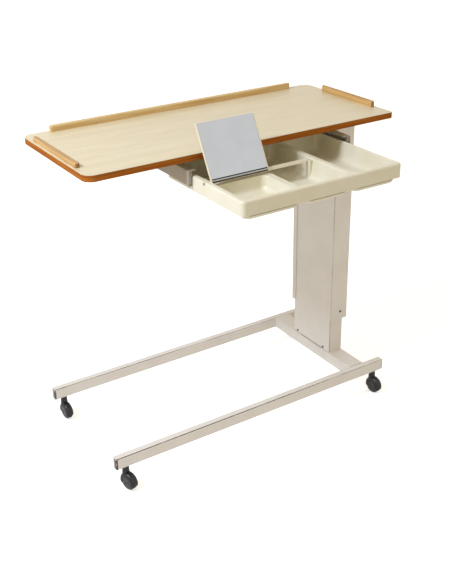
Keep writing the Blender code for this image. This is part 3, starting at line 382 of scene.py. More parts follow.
def rubber_tread(tree):
    """Dark rubber: dull where dust from the floor sticks to it, and finely pitted."""
    dust = add_node(tree, "ValToRGB", {"Fac": pattern(tree, 6, detail=4.0)}, stops=[(0.45, 0.0), (0.8, 0.6)])
    rubber = add_node(tree, "Mix", {FACTOR: dust, FIRST: "#2F2F30", SECOND: "#565551"}, **MIX_COLOURS)
    return {"Base Color": rubber,
            "Roughness": add_node(tree, "ValToRGB", {"Fac": dust}, stops=[(0.2, 0.28), (0.8, 0.50)]),
            "Normal": add_node(tree, "Bump", {"Height": pattern(tree, 1.2), "Distance": 0.00008})}


mirror_glass = material("silvered_glass", silvered_glass, constants=METAL)
tread = material("rubber_tread", rubber_tread)

# %% [markdown]
# ## Working on a piece
#
# By hand, a piece starts as a primitive, and its edges are clicked in edit mode and beveled. A script can't
# click, so it picks edges by where their middle is and which way they run. A piece's object stays at the
# origin and its place is in its mesh, because a pattern on object coordinates would slide otherwise.

# %% Start a piece and round its edges
X, Y, Z = range(3)
ALIGNED = 0.99
NEAR = 1e-5


def name_active(name):
    """Name the object that was just made."""
    piece = bpy.context.object
    piece.name = name
    return piece


def cube(name, low, high):
    """A box between two corners, its object at the origin."""
    bpy.ops.object.select_all(action="DESELECT")
    low, high = Vector(low), Vector(high)
    bpy.ops.mesh.primitive_cube_add(size=1, location=(low + high) / 2)
    bpy.context.object.scale = high - low
    bpy.ops.object.transform_apply(location=True, rotation=True, scale=True)
    return name_active(name)


def work_on(piece):
    """Make a piece the only selected one and go into edit mode."""
    bpy.ops.object.mode_set(mode="OBJECT")
    bpy.ops.object.select_all(action="DESELECT")
    piece.select_set(True)
    bpy.context.view_layer.objects.active = piece
    bpy.ops.object.mode_set(mode="EDIT")


def leave():
    """Go back to object mode."""
    bpy.ops.object.mode_set(mode="OBJECT")


def near(value, other):
    """Whether two measures are the same, to a hundredth of a millimetre."""
    return abs(value - other) < NEAR


def runs_along(axis):
    """A test for edges that run along an axis."""
    return lambda middle, direction: abs(direction[axis]) > ALIGNED


def lies_at(axis, place):
    """A test for edges whose middle lies at a place along an axis."""
    return lambda middle, direction: near(middle[axis], place)


def round_edges(piece, radius, steps, test):
    """Bevel the edges whose middle and direction pass a test."""
    work_on(piece)
    bpy.ops.mesh.select_mode(type="EDGE")
    bpy.ops.mesh.select_all(action="DESELECT")
    cage = bmesh.from_edit_mesh(piece.data)
    for edge in cage.edges:
        one, other = (vertex.co for vertex in edge.verts)
        edge.select_set(test((one + other) / 2, (other - one).normalized()))
    bmesh.update_edit_mesh(piece.data)
    bpy.ops.mesh.bevel(offset=radius, segments=steps, affect="EDGES")
    leave()


# %% Split, paint and finish a piece
SMOOTH_ANGLE = radians(32)
CLEAN = 1e-5


def split(piece, axis, at):
    """Divide the faces that cross a place along an axis, so that a mask can change there."""
    along = Vector((0, 0, 0))
    along[axis] = 1
    work_on(piece)
    bpy.ops.mesh.select_all(action="SELECT")
    bpy.ops.mesh.bisect(plane_co=along * at, plane_no=along)
    leave()


def paint_mask(piece, name, value_of):
    """Paint an attribute face by face, from each face's middle and normal."""
    mask = piece.data.attributes.new(name, "FLOAT", "CORNER")
    for face in piece.data.polygons:
        value = value_of(face.center, face.normal)
        for corner in face.loop_indices:
            mask.data[corner].value = value


def dress(piece, look, slot, body, *replaced):
    """Clean and shade a piece, and give it a material, the body it moves with and the nodes it replaces."""
    work_on(piece)
    bpy.ops.mesh.select_all(action="SELECT")
    bpy.ops.mesh.remove_doubles(threshold=CLEAN)
    bpy.ops.mesh.dissolve_degenerate(threshold=CLEAN)
    leave()
    bpy.ops.object.shade_smooth_by_angle(angle=SMOOTH_ANGLE)
    weights = piece.modifiers.new("even_normals", "WEIGHTED_NORMAL")
    weights.keep_sharp = True
    bpy.ops.object.modifier_apply(modifier=weights.name)
    piece.data.materials.clear()
    piece.data.materials.append(look)
    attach(piece, body)
    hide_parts(*replaced)
    print(f"{piece.name}: {len(piece.data.polygons)} faces, moves with {body}")


# %% [markdown]
# ## Legs and cross member
#
# The base is welded from steel box tube. Its ends are plugged or welded shut, so a solid bar with rounded
# long edges looks the same as a hollow one, and is simpler. Only the legs' arrises are worn, those of the
# near leg most, so wear is painted on the faces of their rounds and on a narrow strip that is split off at
# each end.

# %% Legs and cross member
TUBE_CORNER = 0.003
TUBE_STEPS = 4
END_STRIP = 0.0025
SLOPED = 0.2            # a face slopes towards an axis when its normal has more than this share along it
FACES_NEAR = 0.1        # the same for the strips at the ends, where every face of the near rounds is worn
FAR_ARRIS_WEAR = 0.35
NEAR_LEG_WEAR = 1.8
FAR_LEG_WEAR = 1.0


def leg_wear(middle, normal, low, high):
    """Full wear on the near upper arris and on the near side of both ends, less on the far upper arris."""
    at_end = middle.x < low.x + END_STRIP or middle.x > high.x - END_STRIP
    if normal.z > SLOPED and normal.y < -SLOPED:
        return 1.0
    if at_end and normal.y < -FACES_NEAR:
        return 1.0
    return FAR_ARRIS_WEAR if normal.z > SLOPED and normal.y > SLOPED else 0.0


def box_tube(name, axis, wear=0.0):
    """A box tube over a node, with the wear of a leg where it has any."""
    low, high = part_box(name)
    tube = cube(name + "_tube", low, high)
    round_edges(tube, TUBE_CORNER, TUBE_STEPS, runs_along(axis))
    for end in (low[axis] + END_STRIP, high[axis] - END_STRIP):
        split(tube, axis, end)
    if wear:
        paint_mask(tube, "wear", lambda middle, normal: wear * leg_wear(middle, normal, low, high))
    dress(tube, enamel, "paint", "base", name)


box_tube("leg_near", X, NEAR_LEG_WEAR)
box_tube("leg_far", X, FAR_LEG_WEAR)
box_tube("cross_member", Y)

# %% [markdown]
# ## Plugs
#
# A pale plastic plug closes each end of the legs, and only its flange shows. It could be left to the tube's
# end face, but its rounded rim catches the light. The near part of each plug is worn dark, so its faces are
# split there.

# %% Plugs in the ends of the legs
CORNERS = ("near_left", "near_right", "far_left", "far_right")
PLUG_EDGE = 0.0012
PLUG_EDGE_STEPS = 3
PLUG_FLANGE = 0.002
PLUG_WEAR = 1.4
WORN_SHARE = 0.6
LOOKS_UP = 0.5

for corner in CORNERS:
    name = "leg_cap_" + corner
    low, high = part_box(name)
    if "left" in corner:
        outer_x = low.x
        high.x = low.x + PLUG_FLANGE
    else:
        outer_x = high.x
        low.x = high.x - PLUG_FLANGE
    cap = cube(name + "_plug", low, high)
    round_edges(cap, TUBE_CORNER, TUBE_STEPS, runs_along(X))
    round_edges(cap, PLUG_EDGE, PLUG_EDGE_STEPS, lies_at(X, outer_x))
    worn_to = low.y + WORN_SHARE * (high.y - low.y)
    split(cap, Y, worn_to)
    paint_mask(cap, "wear", lambda middle, normal:
               PLUG_WEAR if middle.y < worn_to and abs(normal.z) < LOOKS_UP else 0.0)
    dress(cap, pale_cap, "cap", "base", name)

# %% [markdown]
# ## Drawing, turning, joining and carving
#
# Castors need more than rounded boxes. A line of points that is spun round an axis gives wheels and shells,
# and one shape can be joined to another or carved out of it by a Boolean modifier. Sculpting would also give
# such forms, but not to a measure. What repeats is modelled once and copied, each copy with its own mesh.

# %% Draw, turn and copy
SEED_SIZE = 0.001
MERGE = 1e-6
CYLINDER_SIDES = 40


def cylinder(name, centre, radius, depth, turn=(0, 0, 0)):
    """A cylinder about a point, turned from upright, its object at the origin."""
    bpy.ops.object.select_all(action="DESELECT")
    bpy.ops.mesh.primitive_cylinder_add(vertices=CYLINDER_SIDES, radius=radius, depth=depth, location=centre,
                                        rotation=turn)
    bpy.ops.object.transform_apply(location=True, rotation=True, scale=True)
    return name_active(name)


def draw(name, points):
    """A line of edges: a plane merged to one vertex, then extruded from point to point."""
    bpy.ops.object.select_all(action="DESELECT")
    bpy.ops.mesh.primitive_plane_add(size=SEED_SIZE)
    piece = name_active(name)
    points = [Vector(point) for point in points]
    work_on(piece)
    bpy.ops.mesh.select_mode(type="VERT")
    bpy.ops.mesh.select_all(action="SELECT")
    bpy.ops.mesh.merge(type="CENTER")
    bpy.ops.transform.translate(value=points[0])
    for before, after in zip(points, points[1:]):
        bpy.ops.mesh.extrude_vertices_move(TRANSFORM_OT_translate={"value": after - before})
    return piece


def lathe(name, profile, steps):
    """Spin a (radius, across) profile round the Y axis. One that starts off the axis is closed first."""
    line = profile + profile[:1] if profile[0][0] else profile
    piece = draw(name, [(radius, across, 0) for radius, across in line])
    bpy.ops.mesh.select_all(action="SELECT")
    bpy.ops.mesh.spin(steps=steps, angle=2 * pi, center=(0, 0, 0), axis=(0, 1, 0))
    bpy.ops.mesh.select_all(action="SELECT")
    bpy.ops.mesh.remove_doubles(threshold=MERGE)
    bpy.ops.mesh.normals_make_consistent(inside=False)
    leave()
    return piece


def copy_of(piece, name):
    """A copy of a piece, with its own mesh."""
    work_on(piece)
    leave()
    bpy.ops.object.duplicate()
    return name_active(name)


def place(piece, matrix):
    """Move a piece and leave its object at the origin."""
    work_on(piece)
    leave()
    piece.matrix_world = matrix
    bpy.ops.object.transform_apply(location=True, rotation=True, scale=True)
    return piece


# %% Join, carve and coat
FACING = 0.9            # a face looks along an axis when its normal has more than this share along it


def pick_level_faces(piece, side):
    """In edit mode, select the faces that look straight up, side 1, or straight down, side -1."""
    bpy.ops.mesh.select_mode(type="FACE")
    bpy.ops.mesh.select_all(action="DESELECT")
    cage = bmesh.from_edit_mesh(piece.data)
    for face in cage.faces:
        face.select_set(side * face.normal.z > FACING)
    bmesh.update_edit_mesh(piece.data)


def combine(piece, tool, operation):
    """Combine a tool with a piece by a Boolean modifier, and remove the tool."""
    work_on(piece)
    leave()
    modifier = piece.modifiers.new("combine", "BOOLEAN")
    modifier.operation = operation
    modifier.solver = "EXACT"
    modifier.object = tool
    bpy.ops.object.modifier_apply(modifier=modifier.name)
    bpy.data.objects.remove(tool, do_unlink=True)
    return piece


def carve(piece, tool):
    """Cut a tool out of a piece."""
    return combine(piece, tool, "DIFFERENCE")


def weld(piece, tool):
    """Join a tool to a piece."""
    return combine(piece, tool, "UNION")


def coat(look, *names):
    """Give nodes of the engineering model a finished material."""
    for name in names:
        nodes[name].data.materials.clear()
        nodes[name].data.materials.append(look)
    print(f"{look.name} on {', '.join(names)}")


# %% [markdown]
# ## Castors
#
# Each castor has two thin wheels with domed sides under one black hood, and a boss that flares into the hood
# and carries the stem. The hood could be a plain dome, but the real one follows the wheels at a small
# distance. So both come from the same profile: the wheel as it is, and the hood set off outwards, cut away
# below and hollowed again for each wheel. Hood and wheels are modelled once about the axle and copied to the
# four corners.

# %% Wheels
WHEEL_RADIUS = 0.025
WHEEL_WIDTH = 0.009
WHEEL_TREAD = 0.0025
WHEEL_EDGE = 0.001
WHEEL_STEPS = 64
FACE_RADIUS = 0.008
FACE_DISH = 0.0008
FACE_RIM = 0.0068
HUB_FOOT = 0.0062
HUB_RADIUS = 0.0056
INNER_FACE = 0.0026
AXLE_BORE = 0.0033
DOME_STEPS = 9


def dome(clearance, share):
    """Points of a wheel's domed side, set off by a clearance, as (radius, across)."""
    crown = WHEEL_RADIUS - FACE_RADIUS + clearance
    reach = WHEEL_WIDTH - WHEEL_TREAD + clearance
    angles = [share * pi / 2 * k / DOME_STEPS for k in range(DOME_STEPS + 1)]
    return [(FACE_RADIUS + crown * cos(a), INNER_FACE + WHEEL_TREAD + reach * sin(a)) for a in angles]


def wheel(name, side):
    """One wheel about the origin, on the side given by its sign."""
    outer = INNER_FACE + WHEEL_WIDTH
    profile = [(AXLE_BORE, INNER_FACE), (WHEEL_RADIUS - WHEEL_EDGE, INNER_FACE),
               (WHEEL_RADIUS, INNER_FACE + WHEEL_EDGE)]
    profile += dome(0.0, 1.0)
    profile += [(FACE_RIM, outer - FACE_DISH), (HUB_FOOT, outer - FACE_DISH), (HUB_RADIUS, outer),
                (AXLE_BORE, outer)]
    return lathe(name, [(radius, side * across) for radius, across in profile], WHEEL_STEPS)


# %% Hood
WEB_HALF = 0.002
HOOD_CLEARANCE = 0.001
HOOD_WALL = 0.0016
HOOD_COVER = 0.55
HOOD_DROP = 0.006
BOSS_RADIUS = 0.0095
BOSS_FOOT_RADIUS = 0.0115
BOSS_EDGE = 0.002
BOSS_STEPS = 4
COLLAR_GAP = 0.0003
STEM_RADIUS = 0.0045
STEM_INSERT = 0.016
STEM_OVERLAP = 0.002
LEG_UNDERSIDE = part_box("leg_near")[0].z
CUT_PAST = 0.010        # how far a cutter reaches past what it cuts


def hood(name, trail):
    """Hood, web, boss and stem about the axle, for a stem that stands a trail ahead of it."""
    shell = dome(HOOD_CLEARANCE + HOOD_WALL, HOOD_COVER)
    lip = shell[-1][1]
    section = [(0, -lip)] + [(radius, -across) for radius, across in reversed(shell)] + shell + [(0, lip)]
    body = lathe(name, section, WHEEL_STEPS)
    reach = 2 * WHEEL_RADIUS
    carve(body, cube("below", (-reach, -reach, -reach), (reach, reach, -HOOD_DROP)))
    collar = LEG_UNDERSIDE - WHEEL_RADIUS - COLLAR_GAP
    boss = cylinder("boss", (-trail, 0, (HOOD_DROP + collar) / 2), BOSS_RADIUS, collar - HOOD_DROP)
    round_edges(boss, BOSS_EDGE, BOSS_STEPS, lies_at(Z, collar))
    work_on(boss)
    pick_level_faces(boss, -1)
    flare = BOSS_FOOT_RADIUS / BOSS_RADIUS
    bpy.ops.transform.resize(value=(flare, flare, 1), center_override=(-trail, 0, HOOD_DROP))
    leave()
    weld(body, boss)
    room = dome(HOOD_CLEARANCE, 1.0)
    outer = room[-1][1] + CUT_PAST
    room = [(0, WEB_HALF), (room[0][0], WEB_HALF)] + room + [(room[-1][0], outer), (0, outer)]
    for side in (-1, 1):
        carve(body, lathe("room", [(radius, side * across) for radius, across in room], WHEEL_STEPS))
    stem = cylinder("stem", (-trail, 0, collar + STEM_INSERT / 2), STEM_RADIUS, STEM_INSERT + STEM_OVERLAP)
    return weld(body, stem)


# %% Copies at the four corners
UPWARDS = Vector((0, 0, 1))
stem_at = Vector(joints["swivel_" + CORNERS[0]]["pos_m"])
axle_at = Vector(joints[f"roll_{CORNERS[0]}_a"]["pos_m"])
first_hood = hood("first_hood", (axle_at - stem_at).to_2d().length)
first_wheels = {"a": wheel("first_wheel_a", -1), "b": wheel("first_wheel_b", 1)}

for corner in CORNERS:
    roll = joints[f"roll_{corner}_a"]
    across = Vector(roll["axis"])
    stand = Matrix((across.cross(UPWARDS), across, UPWARDS)).transposed().to_4x4()
    stand = Matrix.Translation(Vector(roll["pos_m"])) @ stand
    body = place(copy_of(first_hood, "castor_shell_" + corner), stand)
    dress(body, black_nylon, "black_plastic", "castor_" + corner, "castor_hood_" + corner)
    for letter, first_wheel in first_wheels.items():
        tyre = place(copy_of(first_wheel, f"castor_tyre_{corner}_{letter}"), stand)
        dress(tyre, tread, "rubber", f"wheel_{corner}_{letter}", f"castor_wheel_{corner}_{letter}")
    coat(dark_enamel, "castor_axle_" + corner)

for first in (first_hood, *first_wheels.values()):
    bpy.data.objects.remove(first, do_unlink=True)

# %% [markdown]
# ## Column
#
# Mast and sleeve are folded from 2 mm steel sheet. The sleeve slides round the mast, and its lips lean in
# towards the cover. Blocks could be carved out for them, but a folded sheet has the same wall everywhere and
# rounds at its folds. So a line is drawn along the middle of the sheet and extruded upwards, its folds are
# rounded, and a Solidify modifier gives it its wall. The paint is worn at the folds.

# %% Mast and sleeve
SHEET = 0.002
FOLD = 0.003
FOLD_STEPS = 5
MAST_LIP = 0.038
SLEEVE_LIP = 0.016
SLEEVE_LIP_LEAN = 0.0027


def fold_wear(middle, normal):
    """Full wear on the faces of the folds, which look neither along X nor along Y."""
    return 1.0 if abs(normal.x) > SLOPED and abs(normal.y) > SLOPED else 0.0


def channel(name, node, lip, lean, body):
    """A lipped channel over a node, open towards -X between its lips, which can lean inwards."""
    low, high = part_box(node)
    half = Vector((SHEET / 2, SHEET / 2, 0))
    near_side, far_side = low + half, high - half
    folds = [(near_side.x, near_side.y, low.z), (far_side.x, near_side.y, low.z),
             (far_side.x, far_side.y, low.z), (near_side.x, far_side.y, low.z)]
    edge_x = near_side.x + lean
    sheet = draw(name, [(edge_x, low.y + lip, low.z)] + folds + [(edge_x, high.y - lip, low.z)])
    bpy.ops.mesh.select_all(action="SELECT")
    bpy.ops.mesh.extrude_edges_move(TRANSFORM_OT_translate={"value": (0, 0, high.z - low.z)})
    leave()
    round_edges(sheet, FOLD, FOLD_STEPS, lambda middle, direction: abs(direction.z) > ALIGNED and any(
        near(middle.x, fold[X]) and near(middle.y, fold[Y]) for fold in folds))
    thicken = sheet.modifiers.new("thicken", "SOLIDIFY")
    thicken.thickness = SHEET
    thicken.offset = 0.0
    thicken.use_even_offset = True
    bpy.ops.object.modifier_apply(modifier=thicken.name)
    work_on(sheet)
    bpy.ops.mesh.select_all(action="SELECT")
    bpy.ops.mesh.normals_make_consistent(inside=False)
    leave()
    paint_mask(sheet, "wear", fold_wear)
    dress(sheet, enamel, "paint", body, node)


channel("mast_channel", "mast", MAST_LIP, 0, "base")
channel("sleeve_channel", "sleeve", SLEEVE_LIP, SLEEVE_LIP_LEAN, "carriage")

# %% [markdown]
# ## Cover and screws
#
# A flat plate closes the mast's open side. Its broken edge shows as a thin worn line, so that edge is rounded
# and painted with wear. Cross-head screws hold it, and two more hold the guide in the sleeve. A dark disc
# would do from afar, but not close up, so one head is given its round rim and its recess, and is copied and
# turned.

# %% Cover
COVER_EDGE = 0.0007
COVER_EDGE_STEPS = 3
COVER_WEAR = 1.3
FLAT = 0.95             # a face with a larger share of its normal along an axis is flat, not an edge

low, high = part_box("mast_cover")
cover = cube("mast_cover_plate", low, high)
round_edges(cover, COVER_EDGE, COVER_EDGE_STEPS, lies_at(X, low.x))
paint_mask(cover, "wear", lambda middle, normal: COVER_WEAR if -FLAT < normal.x < -SLOPED else 0.0)
dress(cover, enamel, "paint", "base", "mast_cover")

# %% Cross-head screws
SCREW_SLOT = 0.0009
SCREW_SLOT_LENGTH = 0.0042
SCREW_SHARE = 0.6       # share of the head's depth that its round rim and its recess take
SCREW_STEPS = 4
TURN_TO_X = (0, pi / 2, 0)
SCREWS = {                                      # the body it is on, and its turn from looking along -X
    "cover_screw_1": ("base", 0),
    "cover_screw_2": ("base", 0),
    "sleeve_screw_front": ("carriage", pi / 2),
    "sleeve_screw_back": ("carriage", -pi / 2),
}

low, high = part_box("cover_screw_1")
depth = high.x - low.x
first_screw = cylinder("first_screw", (0, 0, 0), (high.z - low.z) / 2, depth, TURN_TO_X)
round_edges(first_screw, SCREW_SHARE * depth, SCREW_STEPS, lies_at(X, -depth / 2))
for long_axis in (Y, Z):
    half = Vector((SCREW_SHARE * depth, SCREW_SLOT / 2, SCREW_SLOT / 2))
    half[long_axis] = SCREW_SLOT_LENGTH / 2
    face = Vector((-depth / 2, 0, 0))
    carve(first_screw, cube("slot", face - half, face + half))

for name, (body, turn) in SCREWS.items():
    low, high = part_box(name)
    stand = Matrix.Translation((low + high) / 2) @ Matrix.Rotation(turn, 4, "Z")
    dress(place(copy_of(first_screw, name + "_head"), stand), screw_steel, "steel", body, name)
bpy.data.objects.remove(first_screw, do_unlink=True)

# %% [markdown]
# ## Tabletop
#
# The laminate is a thin sheet over a board, and the lipping is a ring of wood round the board. Three corners
# have a large radius, and the near right one is nearly square. The ring could be a curve with a profile, but
# its corners differ inside and out. So it is a rounded block with the board's own rounded shape carved out of
# it.

# %% Laminate and lipping
TOP_CORNER = 0.028
NEAR_RIGHT_CORNER = 0.007
TOP_CORNER_STEPS = 14
LAMINATE_EDGE = 0.0004
LAMINATE_EDGE_STEPS = 2
LIPPING_WIDTH = 0.006
LIPPING_EDGE = 0.0015
LIPPING_EDGE_STEPS = 3


def round_corners(piece):
    """Round the upright corners, the near right one less than the others."""
    for radius, near_right in ((TOP_CORNER, False), (NEAR_RIGHT_CORNER, True)):
        round_edges(piece, radius, TOP_CORNER_STEPS, lambda middle, direction:
                    abs(direction.z) > ALIGNED and (middle.x > 0 and middle.y < 0) == near_right)


low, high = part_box("top_laminate")
top_surface = high.z
sheet = cube("laminate_sheet", low, high)
round_corners(sheet)
round_edges(sheet, LAMINATE_EDGE, LAMINATE_EDGE_STEPS, lies_at(Z, high.z))
dress(sheet, laminate, "laminate", "carriage", "top_laminate")

low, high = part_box("top_lipping")
ring = cube("lipping_ring", low, high)
round_corners(ring)
round_edges(ring, LIPPING_EDGE, LIPPING_EDGE_STEPS, lies_at(Z, low.z))
inwards = Vector((LIPPING_WIDTH, LIPPING_WIDTH, -CUT_PAST))
board = cube("board", low + inwards, high - inwards)
round_edges(board, TOP_CORNER - LIPPING_WIDTH, TOP_CORNER_STEPS, runs_along(Z))
carve(ring, board)
dress(ring, lipping_wood, "lipping", "carriage", "top_lipping")

# %% [markdown]
# ## Rails
#
# Three wooden rails keep things from rolling off, and the left one is a little lower. Each is a bar with
# rounded ends and a rounded top. The end grain is darker. The side rails' tops are painted darker as shade,
# and the back rail's top is painted paler as a highlight. A second material could show that, but a mask keeps
# the wood in one piece.

# %% Rails
RAIL_END_ROUND = 0.0065
RAIL_ROUND = 0.005
RAIL_STEPS = 6
LEFT_RAIL_LOWER = 0.005
END_FACES = 0.6
TOP_FACES = 0.75
# painted shade on the side rails' tops
TOP_SHADE_SHARE = 0.45


def end_grain_and_top_shade(middle, normal):
    """Full on a rail's ends, for the darker end grain, and less on its top, as painted shade."""
    return max(float(abs(normal.y) > END_FACES), TOP_SHADE_SHARE * (normal.z > TOP_FACES))


def painted_top_highlight(middle, normal):
    """A painted highlight, full on a rail's top."""
    return float(normal.z > TOP_FACES)


RAILS = {                                       # the wood, and the mask that is painted on it
    "rail_back": (rail_wood_x, "painted_top_highlight", painted_top_highlight),
    "rail_left": (rail_wood_y, "end_grain_and_top_shade", end_grain_and_top_shade),
    "rail_right": (rail_wood_y, "end_grain_and_top_shade", end_grain_and_top_shade),
}
for name, (look, mask, value_of) in RAILS.items():
    low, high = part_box(name)
    low.z = top_surface
    if name == "rail_left":
        high.z -= LEFT_RAIL_LOWER
    rail = cube(name + "_bar", low, high)
    round_edges(rail, RAIL_END_ROUND, RAIL_STEPS, runs_along(Z))
    round_edges(rail, RAIL_ROUND, RAIL_STEPS, lies_at(Z, high.z))
    paint_mask(rail, mask, value_of)
    dress(rail, look, "rail", "carriage", name)

# %% [markdown]
# ## Drawer tray
#
# The tray is one moulding: a rim with a skirt, four compartments that hang under it as bowls, a lowered seat
# for the mirror lid, and a post that carries the right end of the mirror's bar. It could be one skin that is
# given a thickness, but its walls meet in too many ways for that. So it is put together from rounded blocks:
# what is plastic is joined on, and what a hand reaches into is carved out.

# %% Blocks in the tray's own places
TRAY_WALL = 0.003
BLOCK_STEPS = 10

tray_low, tray_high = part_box("drawer_tray")
tray_at = Vector(((tray_low.x + tray_high.x) / 2, tray_low.y, tray_high.z))
tray_half = (tray_high.x - tray_low.x) / 2
tray_depth = tray_high.y - tray_low.y
bowl_depth = tray_high.z - tray_low.z
print(f"Tray {2 * tray_half:.3f} m wide, {tray_depth:.3f} m deep and {bowl_depth:.3f} m high")


def tray_block(name, x_span, y_span, z_span, front_corner, back_corner=None):
    """A block in the tray's own places, with round upright corners."""
    low, high = (tray_at + Vector(corner) for corner in zip(x_span, y_span, z_span))
    piece = cube(name, low, high)
    for radius, y in ((front_corner, low.y), (back_corner or front_corner, high.y)):
        round_edges(piece, radius, BLOCK_STEPS, lambda middle, direction:
                    abs(direction.z) > ALIGNED and near(middle.y, y))
    return piece


def with_walls(span):
    """A span that is wider by the tray's wall on both sides."""
    return (span[0] - TRAY_WALL, span[1] + TRAY_WALL)


# %% Rim and skirt
SKIRT_HEIGHT = 0.038
RIM_ROUND = 0.006
RIM_STEPS = 8
INSIDE_STEPS = 6
FRONT_CORNER = 0.012
BACK_CORNER = 0.0065

tray = tray_block("tray", (-tray_half, tray_half), (0, tray_depth), (-SKIRT_HEIGHT, 0),
                  FRONT_CORNER, BACK_CORNER)
round_edges(tray, RIM_ROUND, RIM_STEPS, lies_at(Z, tray_at.z))
inside = tray_block("inside", (TRAY_WALL - tray_half, tray_half - TRAY_WALL),
                    (TRAY_WALL, tray_depth - TRAY_WALL), (-SKIRT_HEIGHT - CUT_PAST, -TRAY_WALL),
                    FRONT_CORNER - TRAY_WALL, BACK_CORNER - TRAY_WALL)
round_edges(inside, RIM_ROUND - TRAY_WALL, INSIDE_STEPS, lies_at(Z, tray_at.z - TRAY_WALL))
carve(tray, inside)
print(f"Rim and skirt: {len(tray.data.polygons)} faces")

# %% [markdown]
# ## Compartments
#
# A moulded bowl has sides that are drawn in, so that it comes off its mould, a soft round at its floor and a
# mouth that flares into the rim. A plain box would look milled. Each bowl and each cutter therefore has its
# foot scaled in and its floor edge rounded, and the cutter's upper face is extruded in small steps that grow
# to the rim.

# %% Bowls and cutters
POCKET_CORNER = 0.018
POCKET_ROUND = 0.014
POCKET_DRAFT = 0.006
BOWL_ROUND = 0.009
BOWL_DRAFT = 0.003
FLOOR_STEPS = 7
MOUTH_ROUND = 0.003
MOUTH_STEPS = 6


def draw_in(piece, draft, floor_round):
    """Draw a block's foot in by a draft and round its floor edge."""
    work_on(piece)
    pick_level_faces(piece, -1)
    low = Vector([min(vertex.co[k] for vertex in piece.data.vertices) for k in range(3)])
    high = Vector([max(vertex.co[k] for vertex in piece.data.vertices) for k in range(3)])
    size = high - low
    bpy.ops.transform.resize(value=(1 - 2 * draft / size.x, 1 - 2 * draft / size.y, 1),
                             center_override=(low + high) / 2)
    leave()
    round_edges(piece, floor_round, FLOOR_STEPS, lies_at(Z, low.z))


def pocket(x_span, y_span):
    """Cutter for one compartment."""
    cutter = tray_block("pocket", x_span, y_span, (TRAY_WALL - bowl_depth, -MOUTH_ROUND), POCKET_CORNER)
    draw_in(cutter, POCKET_DRAFT, POCKET_ROUND)
    centre = tray_at + Vector((sum(x_span) / 2, sum(y_span) / 2, 0))
    size = Vector((x_span[1] - x_span[0], y_span[1] - y_span[0]))
    work_on(cutter)
    pick_level_faces(cutter, 1)
    grown, risen = 0.0, -MOUTH_ROUND
    for k in range(1, MOUTH_STEPS + 1):
        angle = pi / 2 * k / MOUTH_STEPS
        grow = MOUTH_ROUND * (1 - cos(angle))
        rise = MOUTH_ROUND * (sin(angle) - 1)
        bpy.ops.mesh.extrude_region_move(TRANSFORM_OT_translate={"value": (0, 0, rise - risen)})
        bpy.ops.transform.resize(value=((size.x + 2 * grow) / (size.x + 2 * grown),
                                        (size.y + 2 * grow) / (size.y + 2 * grown), 1),
                                 center_override=centre)
        grown, risen = grow, rise
    bpy.ops.mesh.extrude_region_move(TRANSFORM_OT_translate={"value": (0, 0, CUT_PAST)})
    leave()
    return cutter


# %% Compartments and lid seat
RIM_WIDTH = 0.010
RIM_LEFT = 0.016
LID_DIVIDER = (-0.069, -0.053)
WIDE_DIVIDER = (0.079, 0.097)
LID_WALL = (0.1623, 0.1813)
LID_RECESS = 0.0135
LID_LEDGE = 0.0015
LID_OVERRUN = 0.0035
LID_CORNER = 0.004

bowl_left = RIM_LEFT - tray_half
bowl_right = tray_half - RIM_WIDTH
bowl_back = tray_depth - RIM_WIDTH
compartments = (
    ((bowl_left, LID_DIVIDER[0]), (RIM_WIDTH, LID_WALL[0])),
    ((bowl_left, LID_DIVIDER[0]), (LID_WALL[1], bowl_back)),
    ((LID_DIVIDER[1], WIDE_DIVIDER[0]), (RIM_WIDTH, bowl_back)),
    ((WIDE_DIVIDER[1], bowl_right), (RIM_WIDTH, bowl_back)),
)
for x_span, y_span in compartments:
    bowl = tray_block("bowl", with_walls(x_span), with_walls(y_span), (-bowl_depth, -TRAY_WALL / 2),
                      POCKET_CORNER + TRAY_WALL)
    draw_in(bowl, BOWL_DRAFT, BOWL_ROUND)
    weld(tray, bowl)
lid_x = (bowl_left - LID_LEDGE, LID_DIVIDER[1] + LID_OVERRUN)
lid_y = (RIM_WIDTH + LID_OVERRUN, LID_WALL[1] + LID_OVERRUN)
weld(tray, tray_block("seat_floor", with_walls(lid_x), with_walls(lid_y),
                      (-LID_RECESS - TRAY_WALL, -TRAY_WALL / 2), LID_CORNER + TRAY_WALL))
for x_span, y_span in compartments:
    carve(tray, pocket(x_span, y_span))
carve(tray, tray_block("lid_seat", lid_x, lid_y, (-LID_RECESS, CUT_PAST), LID_CORNER))
print(f"With {len(compartments)} compartments and a lid seat: {len(tray.data.polygons)} faces")

# %% [markdown]
# ## Bearings and painted shade
#
# The mirror's bar turns in a bore through the left rim and in an open slot in the post. The slot is carved,
# because the bar drops into it from above. The bowls' fronts just below the skirt are painted darker, as
# shade under the skirt. It could be a dark strip of its own, but a mask follows the bowls' rounded fronts.

# %% Bearings for the mirror's bar
AXIS_BACK = 0.168
AXIS_DROP = 0.004
SOCKET_X = 0.0675
SOCKET_WIDTH = 0.020
SOCKET_ROOT = 0.001
SOCKET_ROUND = 0.006
SOCKET_TOP = -0.0037
SOCKET_BORE = 0.009
PIN_SLOT = 0.0031
SLOT_CORNER = 0.0005

socket_y = (AXIS_BACK - SOCKET_WIDTH / 2, AXIS_BACK + SOCKET_WIDTH / 2)
weld(tray, tray_block("socket", (SOCKET_X, WIDE_DIVIDER[0] + SOCKET_ROOT), socket_y,
                      (TRAY_WALL / 2 - bowl_depth, SOCKET_TOP), SOCKET_ROUND))
carve(tray, tray_block("slot", (SOCKET_X - CUT_PAST, SOCKET_X + SOCKET_BORE),
                       (AXIS_BACK - PIN_SLOT, AXIS_BACK + PIN_SLOT), (-AXIS_DROP - PIN_SLOT, CUT_PAST),
                       SLOT_CORNER))
carve(tray, cylinder("bearing", tray_at + Vector((-tray_half, AXIS_BACK, -AXIS_DROP)), PIN_SLOT,
                     2 * (RIM_LEFT + CUT_PAST), TURN_TO_X))
print(f"With both bearings: {len(tray.data.polygons)} faces")
